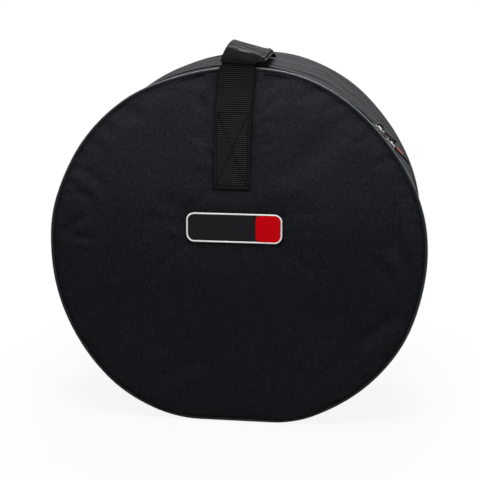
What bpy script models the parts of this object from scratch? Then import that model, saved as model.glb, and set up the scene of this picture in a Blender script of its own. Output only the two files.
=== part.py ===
"""Padded round bag for a snare drum, standing on its flattened side.

The origin is on the floor under the middle of the bag, +Z is up and the lid faces -Y.
All lengths are metres and all angles degrees. Angles round the rim are measured from +X
towards +Z, as a clock face is read from the front. Every layer is a closed solid of its own:
outer shell, foam and lining, for the side and for both round panels. The lid is the front
panel. It turns on the cloth hinge at the bottom of its rim once the two sliders have run
down the zip.
"""
import math

import bmesh
import bpy
from mathutils import Matrix, Vector

# Whole bag
RIM_RADIUS = 0.200
CASE_DEPTH = 0.165
RIM_FLATTENING = 0.0095
FLAT_HALF_WIDTH = 0.040
PIPING_RADIUS = 0.0025
WALL_INSET = 0.0005
PANEL_CROWN = 0.007
FIT_GAP = 0.0003

# Layers
SHELL_THICKNESS = 0.0010
FOAM_THICKNESS = 0.0050
LINING_THICKNESS = 0.0006
BINDING_THICKNESS = 0.0020
BINDING_WIDTH = 0.0040

# Zip
ZIP_SETBACK = 0.0165
ZIP_TAPE_WIDTH = 0.0130
ZIP_TAPE_THICKNESS = 0.0008
ZIP_TAPE_RECESS = 0.0006
ZIP_COIL_WIDTH = 0.0026
ZIP_COIL_HEIGHT = 0.0024
ZIP_COIL_SPLIT = 0.0014
HINGE_HALF_ANGLE = 45.0
ZIP_END_GAP = 0.0006
END_TAB_LENGTH = 0.012
END_TAB_THICKNESS = 0.0010
FOAM_SETBACK = 0.0045

# Sliders and their pulls
LOWER_SLIDER_ANGLE = 37.4
SLIDER_LENGTH = 0.017
SLIDER_NOSE_GAP = 0.0014
SLIDER_TOP_HALF_WIDTH = 0.0055
SLIDER_BOTTOM_HALF_WIDTH = 0.0038
SLIDER_PLATE_THICKNESS = 0.0012
SLIDER_POST_HALF_WIDTH = 0.0004
SLIDER_TOP_CLEARANCE = 0.0007
SLIDER_BOTTOM_CLEARANCE = 0.0010
BRIDGE_LENGTH = 0.0066
BRIDGE_WIDTH = 0.0018
BRIDGE_BEAM = 0.0012
BRIDGE_OPENING = 0.0030
PULL_WIRE_RADIUS = 0.00075
PULL_PIVOT_HEIGHT = 0.0015
PULL_RING_LENGTH = 0.0058
PULL_RING_WIDTH = 0.0072
PULL_RING_CORNER = 0.0012
TAG_LENGTH = 0.0230
TAG_WIDTH = 0.0080
TAG_THICKNESS = 0.0020
TAG_CORNER = 0.0015
MARK_LENGTH = 0.0095
MARK_WIDTH = 0.0050
MARK_THICKNESS = 0.0004
MARK_INSET = 0.0012
LOWER_PULL_LIFT = 4.0
UPPER_PULL_LIFT = 5.0
UPPER_PULL_TURN = 34.0

# Carrying strap
STRAP_WIDTH = 0.038
STRAP_THICKNESS = 0.0016
STRAP_SHIFT = 0.0035
STRAP_FOOT_HEIGHT = 0.075
STRAP_FOOT_OFFSET = 0.0062
GRIP_STRAP_WIDTH = 0.033
HANDLE_RISE = 0.0178
HANDLE_LEAN = 0.008
HANDLE_ROLL = 18.0
GRIP_MOUTH_RISE = 0.0040

# Grip wrap
GRIP_SKIN = 0.0012
GRIP_MARGIN = 0.0050
GRIP_SIDE_CLEARANCE = 0.0011
FASTENER_WIDTH = 0.0038
FASTENER_THICKNESS = 0.0006

# Badge on the lid
BADGE_WIDTH = 0.102
BADGE_HEIGHT = 0.032
BADGE_THICKNESS = 0.0008
BADGE_CORNER = 0.0085
BADGE_BORDER = 0.0017
BADGE_TRIM = 0.0004
BADGE_LIFT = 0.0328
BADGE_FIELD_WIDTH = 0.026
BADGE_FIELD_HEIGHT = 0.0265

# Facets
CIRCLE_STEP = 5.0
CORNER_STEPS = 3
ROUND_CORNER_STEPS = 3
EASE_STEPS = 3
ACROSS_STEPS = 4
CROWN_POWER = 3
RING_SHARES = (1.0, 0.93, 0.8, 0.6, 0.3)

# Places worked out from the sizes
CENTRE_Z = RIM_RADIUS - RIM_FLATTENING + PIPING_RADIUS
HALF_DEPTH = CASE_DEPTH / 2
WALL_RADIUS = RIM_RADIUS - WALL_INSET
RIM_TOP_Z = CENTRE_Z + RIM_RADIUS
WALL_TOP_Z = CENTRE_Z + WALL_RADIUS
HINGE_Y = -HALF_DEPTH
HINGE_Z = PIPING_RADIUS
PANEL_FACE = HALF_DEPTH + SHELL_THICKNESS / 2
SEAM_Y = HALF_DEPTH - PIPING_RADIUS - FIT_GAP
ZIP_Y = ZIP_SETBACK - HALF_DEPTH
BODY_TAPE_BACK_Y = ZIP_Y + ZIP_COIL_SPLIT / 2 + ZIP_COIL_WIDTH + ZIP_TAPE_WIDTH
WALL_FRONT_Y = BODY_TAPE_BACK_Y + FIT_GAP
FOAM_FRONT_Y = WALL_FRONT_Y + FOAM_SETBACK
LINING_BACK_Y = PANEL_FACE - SHELL_THICKNESS - FOAM_THICKNESS - LINING_THICKNESS - 2 * FIT_GAP
FOAM_BACK_Y = LINING_BACK_Y - FIT_GAP
TAPE_RADIUS = WALL_RADIUS - ZIP_TAPE_RECESS
TAPE_MID_RADIUS = TAPE_RADIUS - ZIP_TAPE_THICKNESS / 2
COIL_RADIUS = TAPE_MID_RADIUS + ZIP_COIL_HEIGHT / 2
BINDING_INSET = ZIP_TAPE_RECESS + ZIP_TAPE_THICKNESS + FIT_GAP
PAD_INSET = WALL_INSET + BINDING_INSET + BINDING_THICKNESS + FIT_GAP
SLIDER_DECK = COIL_RADIUS + SLIDER_TOP_CLEARANCE + SLIDER_PLATE_THICKNESS
KEEL_TOP = COIL_RADIUS - ZIP_COIL_HEIGHT - SLIDER_BOTTOM_CLEARANCE
KEEL_RADIUS = KEEL_TOP - SLIDER_PLATE_THICKNESS
SLIDER_SPACING = math.degrees((SLIDER_LENGTH + SLIDER_NOSE_GAP) / KEEL_RADIUS)
UPPER_SLIDER_ANGLE = LOWER_SLIDER_ANGLE + SLIDER_SPACING
STRAP_CLEARANCE = FIT_GAP + STRAP_THICKNESS / 2
STRAP_ROUND = PIPING_RADIUS + STRAP_CLEARANCE
HANDLE_FRONT_Y = -(HALF_DEPTH + STRAP_ROUND)
GRIP_LEAF = STRAP_CLEARANCE + GRIP_SKIN / 2
GRIP_LEFT = GRIP_STRAP_WIDTH / 2 + GRIP_SIDE_CLEARANCE + GRIP_SKIN / 2
GRIP_RIGHT = GRIP_STRAP_WIDTH / 2 + GRIP_MARGIN

# Handle route: shares of the case depth, the rise, the lean and the roll
RISE_ROUTE_SHARES = ((0.0, 0.18, 0.0, 0.0), (0.0, 0.48, 0.30, 0.45), (0.028, 0.80, 0.70, 0.80),
                     (0.076, 0.946, 0.92, 1.0), (0.158, 1.0, 1.0, 1.0), (0.31, 0.97, 0.95, 0.90),
                     (0.46, 0.81, 0.82, 0.70))
TONGUE_START_SHARE = 0.56
REAR_TONGUE_START_SHARE = 0.60
GRIP_END_SHARE = 0.74
TONGUE_END_SHARE = 0.76
TONGUE_LEAN_SHARE = 0.71
TONGUE_ROLL_SHARE = 0.42
BRIDGE_ARCH_SHARES = ((1.0, 0.0), (0.93, 0.6), (0.68, 1.0))
SEWN_STRAP_SHARES = ((0.0, 1.0), (0.22, 0.92), (0.44, 0.83), (0.67, 0.70), (0.84, 0.34))

MATERIALS = {
    "bag_cloth": ((0.012, 0.013, 0.017), 0.75, 0.0),
    "wall_cloth": ((0.045, 0.045, 0.052), 0.55, 0.0),
    "piping": ((0.030, 0.033, 0.036), 0.40, 0.0),
    "foam": ((0.10, 0.10, 0.11), 0.95, 0.0),
    "lining": ((0.018, 0.018, 0.020), 0.85, 0.0),
    "binding": ((0.010, 0.010, 0.011), 0.85, 0.0),
    "zip_tape": ((0.030, 0.030, 0.034), 0.80, 0.0),
    "zip_coil": ((0.020, 0.020, 0.022), 0.45, 0.0),
    "zip_metal": ((0.62, 0.62, 0.66), 0.28, 1.0),
    "pull_rubber": ((0.008, 0.008, 0.009), 0.55, 0.0),
    "red_mark": ((0.58, 0.07, 0.055), 0.50, 0.0),
    "webbing": ((0.014, 0.014, 0.016), 0.70, 0.0),
    "leatherette": ((0.026, 0.025, 0.031), 0.38, 0.0),
    "fastener": ((0.012, 0.012, 0.013), 0.90, 0.0),
    "badge_black": ((0.006, 0.006, 0.007), 0.60, 0.0),
    "badge_white": ((0.80, 0.80, 0.80), 0.55, 0.0),
    "badge_red": ((0.46, 0.0, 0.003), 0.55, 0.0),
}


def clear_scene():
    """Take every object out of the open file."""
    for thing in list(bpy.data.objects):
        bpy.data.objects.remove(thing, do_unlink=True)


def make_material(name):
    """Principled material of one colour, roughness and metallic value."""
    colour, roughness, metallic = MATERIALS[name]
    material = bpy.data.materials.new(name)
    material.use_nodes = True
    shader = material.node_tree.nodes["Principled BSDF"]
    shader.inputs["Base Color"].default_value = (*colour, 1.0)
    shader.inputs["Roughness"].default_value = roughness
    shader.inputs["Metallic"].default_value = metallic
    return material


def add_object(name, data, material, parent):
    """Put a mesh or curve in the bag's collection, on the empty that carries it."""
    data.materials.append(make_material(material))
    data.materials[0].name = name
    thing = bpy.data.objects.new(name, data)
    BAG.objects.link(thing)
    thing.parent = parent
    return thing


def add_axis(name, location, parent=None, rotation=Matrix()):
    """Empty on a joint's axis. Its place and turn are given in its parent's frame."""
    axis = bpy.data.objects.new(name, None)
    BAG.objects.link(axis)
    axis.empty_display_size = RIM_RADIUS / 4
    axis.parent = parent
    axis.matrix_local = Matrix.Translation(location) @ rotation
    bpy.context.view_layer.update()
    return axis


def keep_place(thing):
    """Cancel the parent's place, for a mesh that is drawn in the bag's own frame."""
    thing.matrix_parent_inverse = thing.parent.matrix_world.inverted()


def solidify(thing, thickness, offset=-1.0):
    """Give an open surface its thickness: -1 grows it behind the face, 0 both ways."""
    shell = thing.modifiers.new("Solidify", "SOLIDIFY")
    shell.thickness = thickness
    shell.offset = offset
    shell.use_even_offset = True


def half_rim(radius, lift, end_angle=180.0):
    """Right half of the rim (x, z), from under the middle up to end_angle from the bottom.

    The foot is flat at height lift, a corner arc eases it into the circle, and the same
    inset taken from radius and added to lift gives a parallel line.
    """
    drop = CENTRE_Z - lift
    corner = (radius ** 2 - drop ** 2 - FLAT_HALF_WIDTH ** 2) / (2 * (radius - drop))
    corner_end = math.asin(FLAT_HALF_WIDTH / (radius - corner))
    points = [(0.0, lift)]
    for step in range(CORNER_STEPS):
        angle = corner_end * step / CORNER_STEPS
        points.append((FLAT_HALF_WIDTH + corner * math.sin(angle),
                       lift + corner * (1 - math.cos(angle))))
    end = math.radians(end_angle)
    steps = math.ceil((end - corner_end) / math.radians(CIRCLE_STEP))
    for step in range(steps + 1):
        angle = corner_end + (end - corner_end) * step / steps
        points.append((radius * math.sin(angle), CENTRE_Z - radius * math.cos(angle)))
    return points


def whole_rim(radius, lift):
    """The closed rim, anticlockwise as seen from the front."""
    right = half_rim(radius, lift)
    left = [(-x, z) for x, z in reversed(right[1:-1])]
    return right + left


def foot_arc(radius, lift):
    """The stretch of rim below the zip, from the left end to the right end."""
    right = half_rim(radius, lift, 90.0 - HINGE_HALF_ANGLE)
    return [(-x, z) for x, z in reversed(right[1:])] + right


def zip_arc(radius):
    """The round stretch that the zip follows, from its right end over the top."""
    start = -HINGE_HALF_ANGLE + math.degrees(ZIP_END_GAP / WALL_RADIUS)
    sweep = 180.0 - 2 * start
    steps = math.ceil(sweep / CIRCLE_STEP)
    angles = [math.radians(start + sweep * step / steps) for step in range(steps + 1)]
    return [(radius * math.cos(a), CENTRE_Z + radius * math.sin(a)) for a in angles]


def face_out(bm, middle):
    """Turn the whole surface so that its faces look away from middle."""
    bm.faces.ensure_lookup_table()
    face = bm.faces[0]
    face.normal_update()
    if face.normal.dot(face.calc_center_median() - middle) < 0:
        bmesh.ops.reverse_faces(bm, faces=bm.faces[:])


def outline_edges(bm, points, y, closed):
    """A chain of edges through the rim points (x, z) at depth y."""
    verts = [bm.verts.new((x, y, z)) for x, z in points]
    pairs = list(zip(verts, verts[1:]))
    if closed:
        pairs.append((verts[-1], verts[0]))
    return [bm.edges.new(pair) for pair in pairs]


def pull_out(bm, edges):
    """Extrude a chain of edges, and give the new edges and their points."""
    result = bmesh.ops.extrude_edge_only(bm, edges=edges)["geom"]
    new_edges = [item for item in result if isinstance(item, bmesh.types.BMEdge)]
    new_verts = [item for item in result if isinstance(item, bmesh.types.BMVert)]
    chain = [edge for edge in new_edges if all(vert in new_verts for vert in edge.verts)]
    return chain, new_verts


def add_band(name, points, y_front, y_back, thickness, material, parent, closed=True):
    """Strip of cloth round the rim: the points are its outer face, the rest lies inside."""
    bm = bmesh.new()
    edges = outline_edges(bm, points, y_front, closed)
    _, moved = pull_out(bm, edges)
    bmesh.ops.translate(bm, verts=moved, vec=(0.0, y_back - y_front, 0.0))
    bm.normal_update()
    face_out(bm, Vector((0.0, (y_front + y_back) / 2, CENTRE_Z)))
    mesh = bpy.data.meshes.new(name)
    bm.to_mesh(mesh)
    bm.free()
    band = add_object(name, mesh, material, parent)
    keep_place(band)
    solidify(band, thickness)
    return band


def crown_at(share):
    """How far the faceted panel stands out at a share of its radius."""
    heights = [PANEL_CROWN * (1 - ring ** CROWN_POWER) for ring in RING_SHARES]
    if share <= RING_SHARES[-1]:
        return heights[-1]
    for outer, inner, low, high in zip(RING_SHARES, RING_SHARES[1:], heights, heights[1:]):
        if share >= inner:
            return low + (high - low) * (outer - share) / (outer - inner)
    return heights[0]


def add_panel(name, points, face_y, side, thickness, material, parent):
    """Round panel that bulges outwards: side is -1 for the lid and 1 for the back."""
    bm = bmesh.new()
    edges = outline_edges(bm, points, side * face_y, True)
    for outer, inner in zip(RING_SHARES, RING_SHARES[1:]):
        edges, moved = pull_out(bm, edges)
        for vert in moved:
            vert.co.x *= inner / outer
            vert.co.z = CENTRE_Z + (vert.co.z - CENTRE_Z) * inner / outer
            vert.co.y = side * (face_y + PANEL_CROWN * (1 - inner ** CROWN_POWER))
    bmesh.ops.edgenet_fill(bm, edges=edges)
    bmesh.ops.recalc_face_normals(bm, faces=bm.faces[:])
    face_out(bm, Vector((0.0, 0.0, CENTRE_Z)))
    mesh = bpy.data.meshes.new(name)
    bm.to_mesh(mesh)
    bm.free()
    panel = add_object(name, mesh, material, parent)
    keep_place(panel)
    solidify(panel, thickness)
    return panel


def add_tube(name, points, radius, material, parent, closed=True, resolution=2):
    """Wire or cord along a chain of points."""
    curve = bpy.data.curves.new(name, "CURVE")
    curve.dimensions = "3D"
    curve.bevel_depth = radius
    curve.bevel_resolution = resolution
    curve.use_fill_caps = not closed
    spline = curve.splines.new("POLY")
    spline.points.add(len(points) - 1)
    for target, point in zip(spline.points, points):
        target.co = (*point, 1.0)
    spline.use_cyclic_u = closed
    return add_object(name, curve, material, parent)


def add_plate(name, loops, thickness, material, parent, location=(0.0, 0.0, 0.0),
              rotation=(0.0, 0.0, 0.0)):
    """Flat plate in its own XY plane: the first loop is its edge, others are holes."""
    curve = bpy.data.curves.new(name, "CURVE")
    curve.dimensions = "2D"
    curve.fill_mode = "BOTH"
    curve.extrude = thickness / 2
    for loop in loops:
        spline = curve.splines.new("POLY")
        spline.points.add(len(loop) - 1)
        for target, point in zip(spline.points, loop):
            target.co = (*point, 0.0, 1.0)
        spline.use_cyclic_u = True
    plate = add_object(name, curve, material, parent)
    plate.location = location
    plate.rotation_euler = [math.radians(angle) for angle in rotation]
    return plate


def rounded_box(width, height, corner, centre=(0.0, 0.0)):
    """Rectangle with round corners, anticlockwise."""
    points = []
    inner_x, inner_y = width / 2 - corner, height / 2 - corner
    for quarter, (sx, sy) in enumerate(((1, 1), (-1, 1), (-1, -1), (1, -1))):
        for step in range(ROUND_CORNER_STEPS + 1):
            angle = math.pi / 2 * (quarter + step / ROUND_CORNER_STEPS)
            points.append((centre[0] + sx * inner_x + corner * math.cos(angle),
                           centre[1] + sy * inner_y + corner * math.sin(angle)))
    return points


def across_direction(roll):
    """Direction across a strap that is rolled down to the right."""
    turn = math.radians(roll)
    return Vector((math.cos(turn), 0.0, -math.sin(turn)))


def add_ribbon(name, stations, section, thickness, material, parent):
    """Flat or folded strip swept along stations (point, roll, width).

    section gives the strip's own line of (across, out) points at a station.
    """
    bm = bmesh.new()
    rows = []
    for index, (point, roll, width) in enumerate(stations):
        before = stations[max(index - 1, 0)][0]
        after = stations[min(index + 1, len(stations) - 1)][0]
        side = across_direction(roll)
        out = side.cross(after - before).normalized()
        rows.append([point + side * u + out * v for u, v in section(index, width)])
    verts = [bm.verts.new(co) for co in rows[0]]
    edges = [bm.edges.new(pair) for pair in zip(verts, verts[1:])]
    for previous, row in zip(rows, rows[1:]):
        edges, moved = pull_out(bm, edges)
        places = [min(range(len(row)), key=lambda k: (vert.co - previous[k]).length)
                  for vert in moved]
        for vert, place in zip(moved, places):
            vert.co = row[place]
    bmesh.ops.recalc_face_normals(bm, faces=bm.faces[:])
    mesh = bpy.data.meshes.new(name)
    bm.to_mesh(mesh)
    bm.free()
    ribbon = add_object(name, mesh, material, parent)
    keep_place(ribbon)
    solidify(ribbon, thickness, 0.0)
    return ribbon


def route_y(share):
    """Depth of a handle station at a share of the case depth behind the front strap."""
    return HANDLE_FRONT_Y + share * CASE_DEPTH


def panel_out(height, offset):
    """Distance of the strap's middle from the mid plane, at a height above the centre."""
    share = math.hypot(height, offset) / (RIM_RADIUS - PIPING_RADIUS - FIT_GAP)
    return PANEL_FACE + crown_at(min(share, 1.0)) + STRAP_CLEARANCE


def sewn_stations(side, foot_offset):
    """Strap stations up the panel, from its foot to just under the piping."""
    stations = []
    for height_share, offset_share in SEWN_STRAP_SHARES:
        height = STRAP_FOOT_HEIGHT + height_share * (RIM_RADIUS - STRAP_FOOT_HEIGHT)
        offset = STRAP_SHIFT - foot_offset * offset_share
        out = max(panel_out(height, offset), HALF_DEPTH + STRAP_CLEARANCE)
        if height + PIPING_RADIUS > RIM_RADIUS:
            out = max(out, HALF_DEPTH + STRAP_ROUND)
        stations.append((Vector((offset, side * out, CENTRE_Z + height)), 0.0, STRAP_WIDTH))
    return stations


def tongue_z(y, radius):
    """Height of the circle about the lid's hinge line at depth y."""
    return HINGE_Z + math.sqrt(radius ** 2 - (y - HINGE_Y) ** 2)


def tongue_radius():
    """Radius about the hinge line at which the rear strap's tongue slides in the grip."""
    return math.hypot(route_y(GRIP_END_SHARE) - HINGE_Y, WALL_TOP_Z + GRIP_MOUTH_RISE - HINGE_Z)


def tongue_station(share):
    """Station on the circle about the hinge line, at a share of the case depth."""
    y = route_y(share)
    x = STRAP_SHIFT + TONGUE_LEAN_SHARE * HANDLE_LEAN
    point = Vector((x, y, tongue_z(y, tongue_radius())))
    return point, TONGUE_ROLL_SHARE * HANDLE_ROLL, GRIP_STRAP_WIDTH


def tongue_stations(start_share, end_share, steps):
    """Evenly spaced stations along the circle about the hinge line."""
    span = end_share - start_share
    return [tongue_station(start_share + span * step / steps) for step in range(steps + 1)]


def rise_stations():
    """Stations from the piping up the front of the handle and back along its top."""
    return [(Vector((STRAP_SHIFT + lean * HANDLE_LEAN, route_y(depth),
                     RIM_TOP_Z + rise * HANDLE_RISE)), roll * HANDLE_ROLL, GRIP_STRAP_WIDTH)
            for depth, rise, lean, roll in RISE_ROUTE_SHARES]


def eased(stations):
    """More stations on a smooth curve through the given ones, with roll and width eased too."""
    rows = [(*point, roll, width) for point, roll, width in stations]
    rows = [rows[0]] + rows + [rows[-1]]
    result = []
    for before, start, end, after in zip(rows, rows[1:], rows[2:], rows[3:]):
        for step in range(EASE_STEPS):
            t = step / EASE_STEPS
            values = [b + t * ((c - a) / 2 + t * (a - 2.5 * b + 2 * c - d / 2
                               + t * (1.5 * (b - c) + (d - a) / 2)))
                      for a, b, c, d in zip(before, start, end, after)]
            result.append((Vector(values[:3]), values[3], values[4]))
    return result + [stations[-1]]


def handle_route():
    """Smooth middle line of the handle, from the front piping to the end of the grip."""
    tail = tongue_stations(TONGUE_START_SHARE, GRIP_END_SHARE, 2)
    return eased(rise_stations() + tail)


def across(start, end, out):
    """Evenly spaced points across a strip, at one height above the strap's middle."""
    return [(start + (end - start) * step / ACROSS_STEPS, out) for step in range(ACROSS_STEPS + 1)]


def flat_section(_, width):
    """Plain strap across its width."""
    return across(-width / 2, width / 2, 0.0)


def side_layers(root):
    """Shell, foam and lining of the cylindrical side, the cloth hinge and the inner seam."""
    add_band("side_wall", whole_rim(WALL_RADIUS, 0.0), WALL_FRONT_Y, SEAM_Y,
             SHELL_THICKNESS, "wall_cloth", root)
    foam_inset = SHELL_THICKNESS + FIT_GAP
    add_band("side_foam", whole_rim(WALL_RADIUS - foam_inset, foam_inset), FOAM_FRONT_Y,
             FOAM_BACK_Y, FOAM_THICKNESS, "foam", root)
    lining_inset = foam_inset + FOAM_THICKNESS + FIT_GAP
    add_band("side_lining", whole_rim(WALL_RADIUS - lining_inset, lining_inset), FOAM_FRONT_Y,
             FOAM_BACK_Y, LINING_THICKNESS, "lining", root)
    add_band("hinge_strip", foot_arc(WALL_RADIUS, 0.0), -SEAM_Y, BODY_TAPE_BACK_Y,
             SHELL_THICKNESS, "wall_cloth", root, closed=False)
    add_band("back_seam_binding", whole_rim(WALL_RADIUS - foam_inset, foam_inset),
             SEAM_Y - BINDING_WIDTH, SEAM_Y, BINDING_THICKNESS, "binding", root)


def panel_layers(prefix, side, parent):
    """Shell, foam, lining and piping of one round panel."""
    edge = PIPING_RADIUS + FIT_GAP
    add_panel(prefix + "_panel", whole_rim(RIM_RADIUS - edge, PIPING_RADIUS + edge), PANEL_FACE,
              side, SHELL_THICKNESS, "bag_cloth", parent)
    inside = whole_rim(RIM_RADIUS - PAD_INSET, PIPING_RADIUS + PAD_INSET)
    foam_face = PANEL_FACE - SHELL_THICKNESS - FIT_GAP
    add_panel(prefix + "_foam", inside, foam_face, side, FOAM_THICKNESS, "foam", parent)
    add_panel(prefix + "_lining", inside, foam_face - FOAM_THICKNESS - FIT_GAP, side,
              LINING_THICKNESS, "lining", parent)
    route = [(x, side * HALF_DEPTH, z) for x, z in whole_rim(RIM_RADIUS, PIPING_RADIUS)]
    keep_place(add_tube(prefix + "_piping", route, PIPING_RADIUS, "piping", parent))


def zip_halves(root, lid):
    """The two tapes with their coils, the lid's inner seam and the cloth tabs at the ends."""
    split = ZIP_COIL_SPLIT / 2
    coil = zip_arc(COIL_RADIUS)
    tape = zip_arc(TAPE_RADIUS)
    add_band("body_zip_coil", coil, ZIP_Y + split, ZIP_Y + split + ZIP_COIL_WIDTH,
             ZIP_COIL_HEIGHT, "zip_coil", root, closed=False)
    add_band("body_zip_tape", tape, ZIP_Y + split + ZIP_COIL_WIDTH + FIT_GAP, BODY_TAPE_BACK_Y,
             ZIP_TAPE_THICKNESS, "zip_tape", root, closed=False)
    add_band("lid_zip_coil", coil, ZIP_Y - split - ZIP_COIL_WIDTH, ZIP_Y - split,
             ZIP_COIL_HEIGHT, "zip_coil", lid, closed=False)
    add_band("lid_zip_tape", tape, -SEAM_Y, ZIP_Y - split - ZIP_COIL_WIDTH - FIT_GAP,
             ZIP_TAPE_THICKNESS, "zip_tape", lid, closed=False)
    add_band("lid_seam_binding", whole_rim(WALL_RADIUS - BINDING_INSET, BINDING_INSET),
             -SEAM_Y, -SEAM_Y + BINDING_WIDTH, BINDING_THICKNESS, "binding", lid)
    tab_angle = math.degrees(END_TAB_LENGTH / WALL_RADIUS)
    for name, start in (("right_zip_end_tab", -HINGE_HALF_ANGLE - tab_angle),
                        ("left_zip_end_tab", 180.0 + HINGE_HALF_ANGLE)):
        radius = WALL_RADIUS + FIT_GAP + END_TAB_THICKNESS
        ends = (math.radians(start), math.radians(start + tab_angle / 2),
                math.radians(start + tab_angle))
        points = [(radius * math.cos(a), CENTRE_Z + radius * math.sin(a)) for a in ends]
        add_band(name, points, ZIP_Y - ZIP_TAPE_WIDTH / 2, ZIP_Y + ZIP_TAPE_WIDTH / 2,
                 END_TAB_THICKNESS, "webbing", root, closed=False)


def straps(root, lid):
    """Webbing sewn to each panel: the front one carries the grip, the rear one its tongue."""
    front = sewn_stations(-1, STRAP_FOOT_OFFSET)
    rim_point = Vector((STRAP_SHIFT, HANDLE_FRONT_Y, RIM_TOP_Z))
    front.append((rim_point, 0.0, STRAP_WIDTH))
    front += handle_route()[:len(RISE_ROUTE_SHARES) * EASE_STEPS + 1]
    add_ribbon("front_strap", front, flat_section, STRAP_THICKNESS, "webbing", lid)

    rear = tongue_stations(REAR_TONGUE_START_SHARE, TONGUE_END_SHARE, 4)
    bend = (STRAP_ROUND + FIT_GAP) / math.cos(math.pi / 8)
    for angle in (math.pi / 2, math.pi / 4, 0.0):
        point = Vector((STRAP_SHIFT, HALF_DEPTH + bend * math.cos(angle),
                        RIM_TOP_Z + bend * math.sin(angle)))
        rear.append((point, 0.0, STRAP_WIDTH))
    rear += reversed(sewn_stations(1, 0.0))
    add_ribbon("rear_strap", rear, flat_section, STRAP_THICKNESS, "webbing", root)


def grip(lid, flap_axis):
    """Leatherette wrap: the under leaf and the front lap stay, the flap opens on its left fold."""
    route = handle_route()
    top_start = 3 * EASE_STEPS
    fastener_mid = GRIP_RIGHT - FIT_GAP - FASTENER_WIDTH / 2
    fastener_out = FIT_GAP / 2 + FASTENER_THICKNESS / 2

    def under_leaf(_, __):
        return across(-(GRIP_LEFT - GRIP_SKIN / 2 - FIT_GAP), GRIP_RIGHT, -GRIP_LEAF)

    def upper_leaf(fold):
        inner = GRIP_SKIN * (1 - fold) - GRIP_LEFT
        return [(-GRIP_LEFT, GRIP_LEAF * (1 - 2 * fold))] + across(inner, GRIP_RIGHT, GRIP_LEAF)

    def strip(out):
        return lambda _, __: [(fastener_mid - FASTENER_WIDTH / 2, out),
                              (fastener_mid + FASTENER_WIDTH / 2, out)]

    add_ribbon("grip_under_leaf", route[EASE_STEPS:], under_leaf, GRIP_SKIN, "leatherette", lid)
    add_ribbon("grip_front_lap", route[:top_start + 1],
               lambda index, _: upper_leaf(index / top_start), GRIP_SKIN, "leatherette", lid)
    add_ribbon("grip_loop_strip", route[top_start + 1:-EASE_STEPS], strip(-fastener_out),
               FASTENER_THICKNESS, "fastener", lid)
    point, roll, width = route[top_start]
    flap_route = [(point + Vector((0.0, FIT_GAP, 0.0)), roll, width)] + route[top_start + 1:]
    add_ribbon("grip_flap", flap_route, lambda _, __: upper_leaf(1.0), GRIP_SKIN, "leatherette",
               flap_axis)
    add_ribbon("grip_hook_strip", route[top_start + 1:-EASE_STEPS], strip(fastener_out),
               FASTENER_THICKNESS, "fastener", flap_axis)


def badge(lid):
    """Plain two-colour badge: a black base with a white edge and a red field."""
    face = PANEL_FACE + PANEL_CROWN + FIT_GAP
    place = Vector((0.0, 0.0, CENTRE_Z + BADGE_LIFT))
    upright = (90.0, 0.0, 0.0)
    base = rounded_box(BADGE_WIDTH, BADGE_HEIGHT, BADGE_CORNER)
    place.y = -(face + BADGE_THICKNESS / 2)
    keep_place(add_plate("badge_base", [base], BADGE_THICKNESS, "badge_black", lid, place, upright))
    place.y = -(face + BADGE_THICKNESS + FIT_GAP + BADGE_TRIM / 2)
    hole = rounded_box(BADGE_WIDTH - 2 * BADGE_BORDER, BADGE_HEIGHT - 2 * BADGE_BORDER,
                       BADGE_CORNER - BADGE_BORDER)
    keep_place(add_plate("badge_border", [base, hole], BADGE_TRIM, "badge_white", lid, place,
                         upright))
    field_x = BADGE_WIDTH / 2 - BADGE_BORDER - FIT_GAP - BADGE_FIELD_WIDTH / 2
    field = rounded_box(BADGE_FIELD_WIDTH, BADGE_FIELD_HEIGHT, BADGE_CORNER - 2 * BADGE_BORDER,
                        (field_x, 0.0))
    keep_place(add_plate("badge_red_field", [field], BADGE_TRIM, "badge_red", lid, place, upright))


def arch_side(half, foot, crown):
    """Right half of an arch, from its foot to its flat top."""
    return [(half * out, foot + (crown - foot) * up) for out, up in BRIDGE_ARCH_SHARES]


def slider(prefix, axis):
    """Zip slider in its axis' frame: its deck is square to +Z and it runs along X."""
    top, bottom, post = SLIDER_TOP_HALF_WIDTH, SLIDER_BOTTOM_HALF_WIDTH, SLIDER_POST_HALF_WIDTH
    deck = SLIDER_DECK
    deck_low = deck - SLIDER_PLATE_THICKNESS
    right = [(bottom, KEEL_RADIUS), (bottom, KEEL_TOP), (post, KEEL_TOP), (post, deck_low),
             (top, deck_low), (top, deck)]
    outline = right + [(-y, z) for y, z in reversed(right)]
    add_plate(prefix + "_slider_body", [outline], SLIDER_LENGTH, "zip_metal", axis,
              rotation=(90.0, 0.0, 90.0))
    foot = deck + FIT_GAP
    under = deck + BRIDGE_OPENING
    outer = arch_side(BRIDGE_LENGTH / 2, foot, under + BRIDGE_BEAM)
    inner = arch_side(BRIDGE_LENGTH / 2 - BRIDGE_BEAM, foot, under)
    arch = outer + [(-x, z) for x, z in reversed(outer)]
    arch += [(-x, z) for x, z in inner] + list(reversed(inner))
    add_plate(prefix + "_slider_bridge", [arch], BRIDGE_WIDTH, "zip_metal", axis,
              rotation=(90.0, 0.0, 0.0))


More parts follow.
